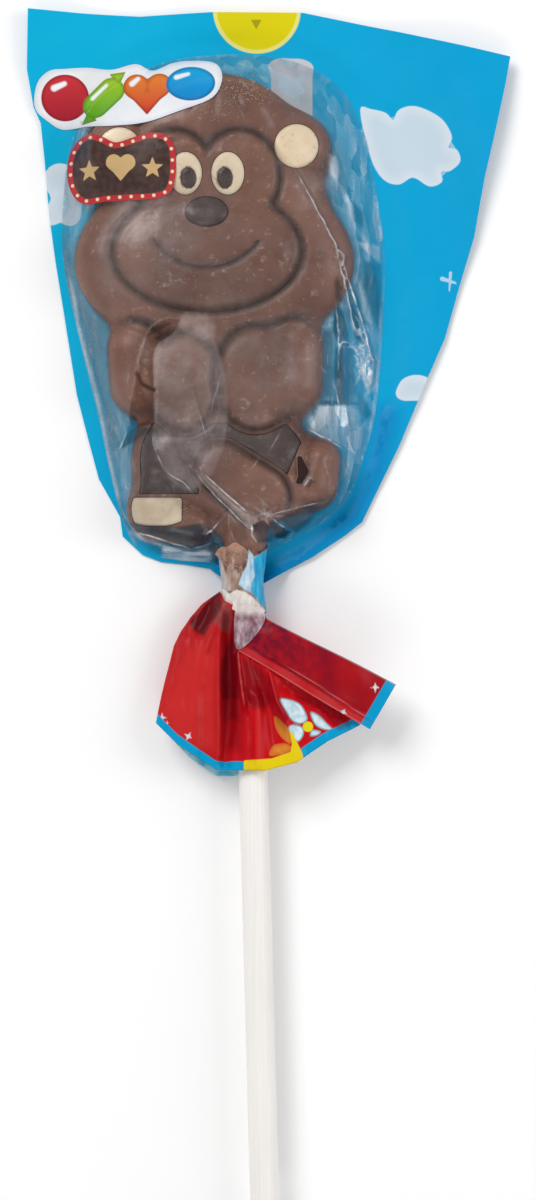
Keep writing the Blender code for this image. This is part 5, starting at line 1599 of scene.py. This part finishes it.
def skirt_points(down, a):
    """Points of the skirt: down runs from the neck's foot, 0, to the hem, 1, and a goes round it."""
    right, up = np.cos(a), np.sin(a)
    across = (right + 1) / 2
    behind = smooth_step(0.1, -0.3, up)
    hem = along_line(HEM, across, HEM_SHARES)
    hem[1] -= behind * 1.1 * smooth_step(0.08, 0.2, across) * smooth_step(0.5, 0.36, across)
    hem[1] += behind * 0.8 * smooth_step(0.5, 0.6, across)
    sides = [along_line(line, down).reshape(2, 1) for line in (SKIRT_LEFT, SKIRT_RIGHT)]
    ends = [np.array(line[k]).reshape(2, 1) for line in (SKIRT_NECK, HEM) for k in (0, -1)]
    between_sides = sides[0] * (1 - across) + sides[1] * across
    between_ends = along_line(SKIRT_NECK, across) * (1 - down) + hem * down
    upper = ends[0] * (1 - across) + ends[1] * across
    lower = ends[2] * (1 - across) + ends[3] * across
    corners = upper * (1 - down) + lower * down
    x, y = between_sides + between_ends - corners
    pleat = 0.35 * down * np.cos(8 * a + 0.6) + 0.12 * np.cos(19 * a + 2.0) * down
    half = SKIRT_HALF_HEIGHT * (0.8 + 0.2 * down)
    z = (half + pleat) * up * (0.55 + 0.45 * np.abs(up))
    opened = smooth_step(0.0, 0.22, down)
    z = (NECK_RADIUS - 0.4) * up * (1 - opened) + z * opened
    front = smooth_step(0.1, 0.5, up) * smooth_step(0.0, 0.12, down)
    for line, depth, width in valleys:
        z = z - front * depth * np.exp(-((stroke(line)(x, y) / width) ** 2))
    for line, height, width in ridges:
        z = z + front * height * np.exp(-((stroke(line)(x, y) / width) ** 2))
    clear_of_stick = np.sqrt(np.maximum((STICK_RADIUS + STICK_GAP) ** 2 - (x - stick_x(y)) ** 2, 0.0))
    z = np.where(up > 0, np.maximum(z, clear_of_stick), np.minimum(z, -clear_of_stick))
    limp = 0.13 * uneven(x, y, 2.6, 60.0) + 0.16 * uneven(3.0 * x, 0.6 * y, 2.6, 64.0)
    z = z + opened * limp * np.sign(up)
    return np.column_stack([x, y, np.maximum(STICK_Z + z, 0.1)])


skirt_turns = np.arange(SKIRT_SIDES) * 2 * math.pi / SKIRT_SIDES
skirt_rows = np.linspace(0.0, 1.0, SKIRT_ROWS)
rows = np.array([skirt_points(down, skirt_turns) for down in skirt_rows])
to_hem = np.cumsum(np.linalg.norm(np.diff(rows[::-1], axis=0), axis=2), axis=0)[::-1]
to_hem = np.vstack([to_hem, np.zeros((1, SKIRT_SIDES))]).ravel()
skirt_x, skirt_y = rows.reshape(-1, 3).T[:2]
in_front = np.tile(np.sin(skirt_turns) > 0.05, SKIRT_ROWS)
skirt_print = {
    "petals": any_of(
        polygon(rounded([
            (1.7, -14.7), (3.1, -14.7), (4.8, -15.4), (5.7, -16.7), (6.0, -17.9), (5.0, -18.5), (3.7, -18.1),
            (2.7, -16.7),
        ])),
        polygon(rounded([
            (6.4, -16.7), (7.7, -17.1), (9.1, -18.5), (9.9, -19.4), (8.5, -19.4), (7.1, -18.6),
        ])),
        polygon(rounded([
            (5.2, -19.0), (3.7, -18.6), (3.0, -19.1), (3.5, -20.2), (4.5, -21.3), (5.4, -20.2),
        ])),
        polygon(rounded([(6.7, -19.4), (8.1, -19.7), (7.5, -20.3), (6.4, -20.4)])),
    ),
    "flower_eye": ellipse((6.06, -18.95), (0.8, 0.8)),
    "orange_petals": any_of(
        polygon(rounded([
            (0.9, -17.3), (2.1, -18.2), (3.1, -19.4), (3.5, -21.5), (2.1, -20.7), (1.1, -19.1),
        ])),
        polygon(rounded([(0.2, -23.4), (0.7, -21.9), (2.4, -21.5), (3.5, -22.1), (2.9, -22.9)])),
    ),
    "yellow_band": polygon([
        (-3.8, -24.1), (0.5, -23.8), (3.4, -22.8), (3.6, -21.5), (3.1, -19.1), (4.1, -20.7), (5.2, -23.0),
        (5.8, -26.6), (-3.8, -28.9),
    ]),
    "sparkles": any_of(
        star((-16.4, -17.6), 0.85, 0.25, 4),
        star((-12.3, -20.4), 0.8, 0.25, 4, 0.5),
        star((-15.6, -18.4), 0.4, 0.12, 4),
    ),
}
# Where the front lies in shade, or another film lies over it: outline, softness in millimetres, and amount
shaded_areas = [
    ([
        (-7.3, -8.6), (-6.2, -5.6), (-5.6, -2.6), (-4.9, -2.2), (-4.8, -7.0), (-4.5, -11.2), (-4.3, -15.0),
        (-7.2, -15.0), (-7.5, -11.9),
    ], 0.6, 0.86),
    ([(-7.2, -12.4), (-4.3, -12.4), (-4.1, -18.4), (-7.0, -18.4)], 1.1, 0.72),
    ([(-6.9, -15.0), (-4.7, -15.0), (-4.2, -19.6), (-4.3, -22.6), (-6.7, -22.6), (-7.0, -19.6)], 1.3, 0.50),
    ([
        (-4.3, -8.0), (-1.0, -10.0), (0.4, -11.9), (1.5, -15.0), (-0.7, -16.2), (-3.5, -15.9), (-4.1, -11.9),
    ], 0.7, 0.60),
    ([(-0.9, -13.4), (0.7, -13.4), (2.9, -17.4), (2.6, -20.5), (1.3, -18.4)], 0.5, 0.50),
    ([
        (-7.5, 2.1), (-9.1, 0.8), (-10.8, -1.3), (-12.1, -2.7), (-11.9, -3.9), (-9.9, -5.0), (-9.0, -3.3),
        (-7.9, -1.9), (-7.2, -0.2),
    ], 0.4, 0.92),
    ([(2.1, -11.9), (11.9, -17.1), (12.9, -18.7), (10.8, -19.6), (7.7, -16.2), (4.9, -15.0)], 0.4, 0.50),
    ([(-5.5, -0.4), (-4.6, -1.3), (-4.7, -8.0), (-5.0, -8.0)], 0.25, 0.70),
]
lit_areas = [
    ([
        (-11.2, -6.4), (-8.1, -5.7), (-8.1, -13.4), (-8.0, -22.7), (-14.3, -20.8), (-16.2, -17.7),
        (-15.0, -13.4), (-13.4, -8.0),
    ], 1.2, 0.42),
    ([(-1.9, -15.0), (-1.2, -15.0), (-1.2, -24.9), (-1.9, -24.9)], 0.4, 0.60),
    ([(-8.0, -11.2), (-7.7, -11.2), (-7.4, -23.0), (-7.8, -23.0)], 0.3, 0.45),
    ([(-14.0, -5.7), (-13.7, -5.7), (-16.4, -17.4), (-16.7, -17.4)], 0.3, 0.30),
]
greyed_area = polygon([
    (-7.2, 0.7), (-5.8, -0.3), (-5.5, -2.6), (-5.9, -4.7), (-7.2, -4.2), (-8.6, -2.7), (-8.2, -0.9),
])
bright_line = np.zeros(len(skirt_x))
for (line, height, width), amount, low in ((ridges[0], 1.0, -16.4), (ridges[5], 0.55, -18.0)):
    lit_edge = amount * np.exp(-((stroke(line)(skirt_x, skirt_y) / 0.17) ** 2))
    bright_line = np.maximum(bright_line, lit_edge * smooth_step(low, low + 1.6, skirt_y))


def red_film(name, base, deep):
    """Red printed film with a drift of tone; the caller lays the rest of the print over it."""
    finish, tree, shader = new_finish(name)
    red = blended(tree, spread(tree, grain(tree, 5.0, 4.0, stretch=(1.0, 0.5, 1.0)), 0.35, 0.65), base, deep)
    return finish, tree, shader, red


HEM_BLUE = (0.0, 0.300, 0.560)
skirt_film, tree, shader, red = red_film("skirt_printed_film", (0.50, 0.014, 0.016), (0.41, 0.008, 0.011))
red = blended(tree, spread(tree, place_along(tree, "X"), -0.009, -0.004), red, (0.50, 0.003, 0.008))
red = blended(tree, kept(tree, "lit"), red, (0.62, 0.030, 0.028))
red = blended(tree, spread(tree, kept(tree, "greyed"), -0.4, 0.2, 0.68, 0.0), red, (0.21, 0.062, 0.060))
red = print_over(tree, red, "orange_petals", (0.56, 0.16, 0.02))
leaf_heart = spread(tree, kept(tree, "orange_petals"), -0.75, -0.15, 0.7, 0.0)
red = blended(tree, leaf_heart, red, (0.72, 0.27, 0.03))
red = print_over(tree, red, "petals", (0.20, 0.34, 0.40))
petal_drift = spread(tree, grain(tree, 1.1, 3.0), 0.4, 0.6)
petal_tone = blended(tree, petal_drift, (0.40, 0.57, 0.63), (0.62, 0.74, 0.80))
red = blended(tree, spread(tree, kept(tree, "petals"), -0.24, -0.12, 1.0, 0.0), red, petal_tone)
red = print_over(tree, red, "flower_eye", (0.72, 0.60, 0.01))
red = print_over(tree, red, "sparkles", (0.62, 0.62, 0.66))
# the back's hem: a lighter mottled blue, painted light over the shade in which it lies
hem_drift = spread(tree, grain(tree, 1.6, 4.0), 0.4, 0.6)
back_hem_painted_light = blended(tree, hem_drift, (0.10, 0.52, 0.74), (0.42, 0.70, 0.78))
hem_blue = blended(tree, kept(tree, "behind"), HEM_BLUE, back_hem_painted_light)
red = blended(tree, spread(tree, kept(tree, "to_hem"), 1.35, 1.5, 1.0, 0.0), red, hem_blue)
red = print_over(tree, red, "yellow_band", (0.72, 0.55, 0.004))
red = blended(tree, kept(tree, "shaded"), red, blended(tree, 0.12, (0.040, 0.0, 0.004), red))
red = blended(tree, spread(tree, kept(tree, "bright"), 0.25, 1.0, 0.0, 0.42), red, (0.60, 0.16, 0.15))
tree.links.new(red, shader.inputs["Base Color"])
film_gloss(tree, shader, 0.32, gloss=0.10)
skirt = piece("pleated_skirt", rows.reshape(-1, 3), ring_faces(SKIRT_ROWS, SKIRT_SIDES), skirt_film, sharp=75)
for name, field in skirt_print.items():
    keep_value(skirt, name, np.where(in_front, field(skirt_x, skirt_y), FAR_AWAY))
keep_value(skirt, "greyed", np.where(in_front, greyed_area(skirt_x, skirt_y), FAR_AWAY))
keep_value(skirt, "to_hem", to_hem)
keep_value(skirt, "behind", np.where(in_front, 0.0, 1.0))
for name, amounts in (
    ("shaded", strongest(shaded_areas, skirt_x, skirt_y)),
    ("lit", strongest(lit_areas, skirt_x, skirt_y)),
    ("bright", bright_line),
):
    keep_value(skirt, name, np.where(in_front, amounts, 0.0))
sheet_wall = skirt.modifiers.new("film_thickness", "SOLIDIFY")
sheet_wall.thickness = FILM_THICKNESS * MM
sheet_wall.offset = -1.0
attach(skirt, LOLLIPOP)
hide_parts("printed_wrapper")

# 10. The folded corner
# One corner of the bag's end is folded over to the lower right, a flat double strip of the same red film
# with a blue end. A scrap of the clear front film covers its root.

FLAP_ROOT = ((-0.6, -2.1), (-4.6, -7.3))
FLAP_END = ((19.6, -12.4), (15.6, -19.4))
FLAP_LONG, FLAP_WIDE = 96, 28
FLAP_THICKNESS = 0.35
CREASE_ACROSS = 0.80


def from_crease(along, across):
    """How far a point of the strip lies from its long crease, as a share of the strip's width."""
    return across - CREASE_ACROSS + 0.05 * math.sin(4.0 * along)


def flap_point(along, across, under):
    """A point of the strip, this far under its face: across runs from its upper edge, 0, to its lower, 1."""
    corners = np.array([*FLAP_ROOT, *FLAP_END])
    near = corners[0] * (1 - across) + corners[1] * across
    far = corners[2] * (1 - across) + corners[3] * across
    x, y = near * (1 - along) + far * along
    crown = 0.75 * 4 * across * (1 - across)
    z = 7.2 - 0.8 * along + crown + 1.5 * math.sin(math.pi * along) * (1 - across)
    z += 0.14 * math.sin(9.0 * along + 3.0 * across) + 0.10 * math.sin(21.0 * along - 5.0 * across)
    z += 0.35 * math.exp(-((from_crease(along, across) / 0.035) ** 2)) * smooth_step(0.05, 0.2, along)
    edge = 0.15 * math.sin(7.0 * along) * (across - 0.5)
    return x, y + edge, z + 0.5 - under


flap_grid = [(k / FLAP_LONG, j / FLAP_WIDE) for k in range(FLAP_LONG + 1) for j in range(FLAP_WIDE + 1)]
flap_points = [flap_point(*at, under) for under in (0.0, FLAP_THICKNESS) for at in flap_grid]
flap_width, flap_count = FLAP_WIDE + 1, len(flap_grid)
flap_faces = []
for k in range(FLAP_LONG):
    for j in range(FLAP_WIDE):
        a, b = k * flap_width + j, (k + 1) * flap_width + j
        flap_faces += [(a, a + 1, b + 1, b), [corner + flap_count for corner in (a, b, b + 1, a + 1)]]
    for j, turn in ((0, 1), (FLAP_WIDE, -1)):
        a, b = k * flap_width + j, (k + 1) * flap_width + j
        flap_faces.append((a, b, b + flap_count, a + flap_count)[::turn])
for j in range(FLAP_WIDE):
    for k, turn in ((0, -1), (FLAP_LONG, 1)):
        a, b = k * flap_width + j, k * flap_width + j + 1
        flap_faces.append((a, b, b + flap_count, a + flap_count)[::turn])
flap_film, tree, shader, red = red_film("flap_printed_film", (0.40, 0.005, 0.008), (0.27, 0.002, 0.009))
blotched = spread(tree, grain(tree, 1.1, 5.0, turn=5.0), 0.42, 0.58, 0.30, 1.15)
near_root = spread(tree, kept(tree, "along"), 0.1, 0.75, 0.75, 0.0)
near_root = product(tree, near_root, blotched)
red = blended(tree, near_root, red, (0.115, 0.003, 0.022))
# painted light: a brighter red lip below the crease, and pink painted highlights on the lower edge and crease
red = blended(tree, spread(tree, kept(tree, "across"), 0.80, 0.86), red, (0.52, 0.010, 0.016))
red = blended(tree, spread(tree, kept(tree, "across"), 0.960, 0.990), red, (0.60, 0.10, 0.10))
red = blended(tree, spread(tree, kept(tree, "crease_highlight"), 0.4, 1.0, 0.0, 0.6), red, (0.68, 0.20, 0.20))
red = print_over(tree, red, "sparkles", (0.66, 0.66, 0.70))
red = blended(tree, spread(tree, kept(tree, "along"), 0.925, 0.932), red, HEM_BLUE)
red = blended(tree, spread(tree, kept(tree, "across"), 0.03, 0.015, 0.0, 0.7), red, (0.30, 0.28, 0.30))
tree.links.new(red, shader.inputs["Base Color"])
film_gloss(tree, shader, 0.28)
flap = piece("folded_corner", flap_points, flap_faces, flap_film)
keep_value(flap, "along", [along for along, across in flap_grid] * 2)
keep_value(flap, "across", [across for along, across in flap_grid] * 2)
crease_highlight = [
    math.exp(-((from_crease(along, across) / 0.022) ** 2)) * min(1.0, 4 * max(0.0, along - 0.15))
    for along, across in flap_grid
]
keep_value(flap, "crease_highlight", crease_highlight * 2)
flap_stars = any_of(star((16.4, -12.9), 0.9, 0.25, 4), star((11.5, -16.7), 0.8, 0.22, 4, 0.4))
keep_value(flap, "sparkles", flap_stars(*plan_of(flap)))
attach(flap, LOLLIPOP)
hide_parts("printed_wrapper")

SCRAP_THICKNESS = 0.06
scrap_line = rounded([
    (-4.9, -0.6), (-2.8, -0.4), (-0.9, -1.0), (-0.7, -3.0), (-2.9, -5.9), (-4.9, -7.0), (-5.3, -4.0),
])


def scrap_level(x, y):
    """Height of the scrap's upper side, which rises as it runs over the folded corner."""
    fall = smooth_step(0.5, -4.0, y)
    return 8.15 + 0.55 * fall + 0.16 * uneven(x, y, 1.5, 70.0) + 0.12 * np.cos(2.2 * x + 0.4 * y)


scrap_film, tree, shader = new_finish("scrap_of_clear_film")
milk_tone = spread(tree, grain(tree, 1.0, 5.0, stretch=(1.0, 0.5, 1.0), turn=9.0), 0.38, 0.62)
scrap_colour = blended(tree, milk_tone, (0.24, 0.12, 0.16), (0.50, 0.38, 0.42))
at_neck = spread(tree, place_along(tree, "Y"), -0.0022, -0.0012)
scrap_colour = blended(tree, at_neck, scrap_colour, (0.70, 0.62, 0.60))
tree.links.new(scrap_colour, shader.inputs["Base Color"])
tree.links.new(spread(tree, milk_tone, 0.0, 1.0, 0.62, 0.92), shader.inputs["Alpha"])
film_gloss(tree, shader, 0.22)
scrap_underside = lambda x, y: scrap_level(x, y) - SCRAP_THICKNESS
scrap = slab("film_scrap", evenly(scrap_line, 0.35), scrap_level, scrap_underside, scrap_film, spacing=0.35)
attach(scrap, LOLLIPOP)

# 11. Setting
# A plain pale floor, three soft lights and the camera straight above.

floor_finish, tree, shader = new_finish("pale_floor")
floor_drift = spread(tree, grain(tree, 60.0, 2.0), 0.3, 0.7)
floor_tone = blended(tree, floor_drift, (0.93, 0.93, 0.93), (0.95, 0.95, 0.95))
tree.links.new(floor_tone, shader.inputs["Base Color"])
shader.inputs["Roughness"].default_value = 0.9
shader.inputs["Specular IOR Level"].default_value = 0.1
FLOOR_HALF = 3.0
FLOOR_DEPTH = 0.0002
floor_corners = [
    (x * FLOOR_HALF, y * FLOOR_HALF, -FLOOR_DEPTH) for x, y in ((-1, -1), (1, -1), (1, 1), (-1, 1))
]
floor_mesh = bpy.data.meshes.new("floor")
floor_mesh.from_pydata(floor_corners, [], [(0, 1, 2, 3)])
floor_mesh.materials.append(floor_finish)
floor = bpy.data.objects.new("floor", floor_mesh)
bpy.context.scene.collection.objects.link(floor)

LIT_PLACE = (0.0, 0.02, 0.0)


def softbox(name, place, size, power):
    """A soft light aimed at the figure."""
    light = bpy.data.lights.new(name, "AREA")
    light.shape = "RECTANGLE"
    light.size, light.size_y = size
    light.energy = power
    made = bpy.data.objects.new(name, light)
    made.location = place
    made.rotation_euler = (Vector(LIT_PLACE) - Vector(place)).to_track_quat("-Z", "Y").to_euler()
    bpy.context.scene.collection.objects.link(made)


softbox("upper_left_softbox", (-0.45, 0.55, 0.75), (0.5, 0.5), 6.0)
softbox("right_softbox", (0.75, 0.1, 0.5), (0.35, 0.7), 2.6)
softbox("lower_softbox", (-0.1, -0.8, 0.6), (0.8, 0.3), 2.0)

world = bpy.data.worlds.new("white_room")
world.use_nodes = True
world.node_tree.nodes["Background"].inputs["Color"].default_value = (1.0, 1.0, 1.0, 1.0)
world.node_tree.nodes["Background"].inputs["Strength"].default_value = 0.45
bpy.context.scene.world = world

CAMERA_HEIGHT = 0.9
VIEW_HEIGHT = 0.186
VIEW_CENTRE = (-0.00008, 0.00054)
SENSOR_HEIGHT = 36.0
camera_data = bpy.data.cameras.new("camera")
camera_data.sensor_fit = "VERTICAL"
camera_data.sensor_height = SENSOR_HEIGHT
camera_data.lens = SENSOR_HEIGHT * CAMERA_HEIGHT / VIEW_HEIGHT
camera = bpy.data.objects.new("camera", camera_data)
camera.location = (*VIEW_CENTRE, CAMERA_HEIGHT)
bpy.context.scene.collection.objects.link(camera)
bpy.context.scene.camera = camera
bpy.context.scene.view_settings.view_transform = "Standard"
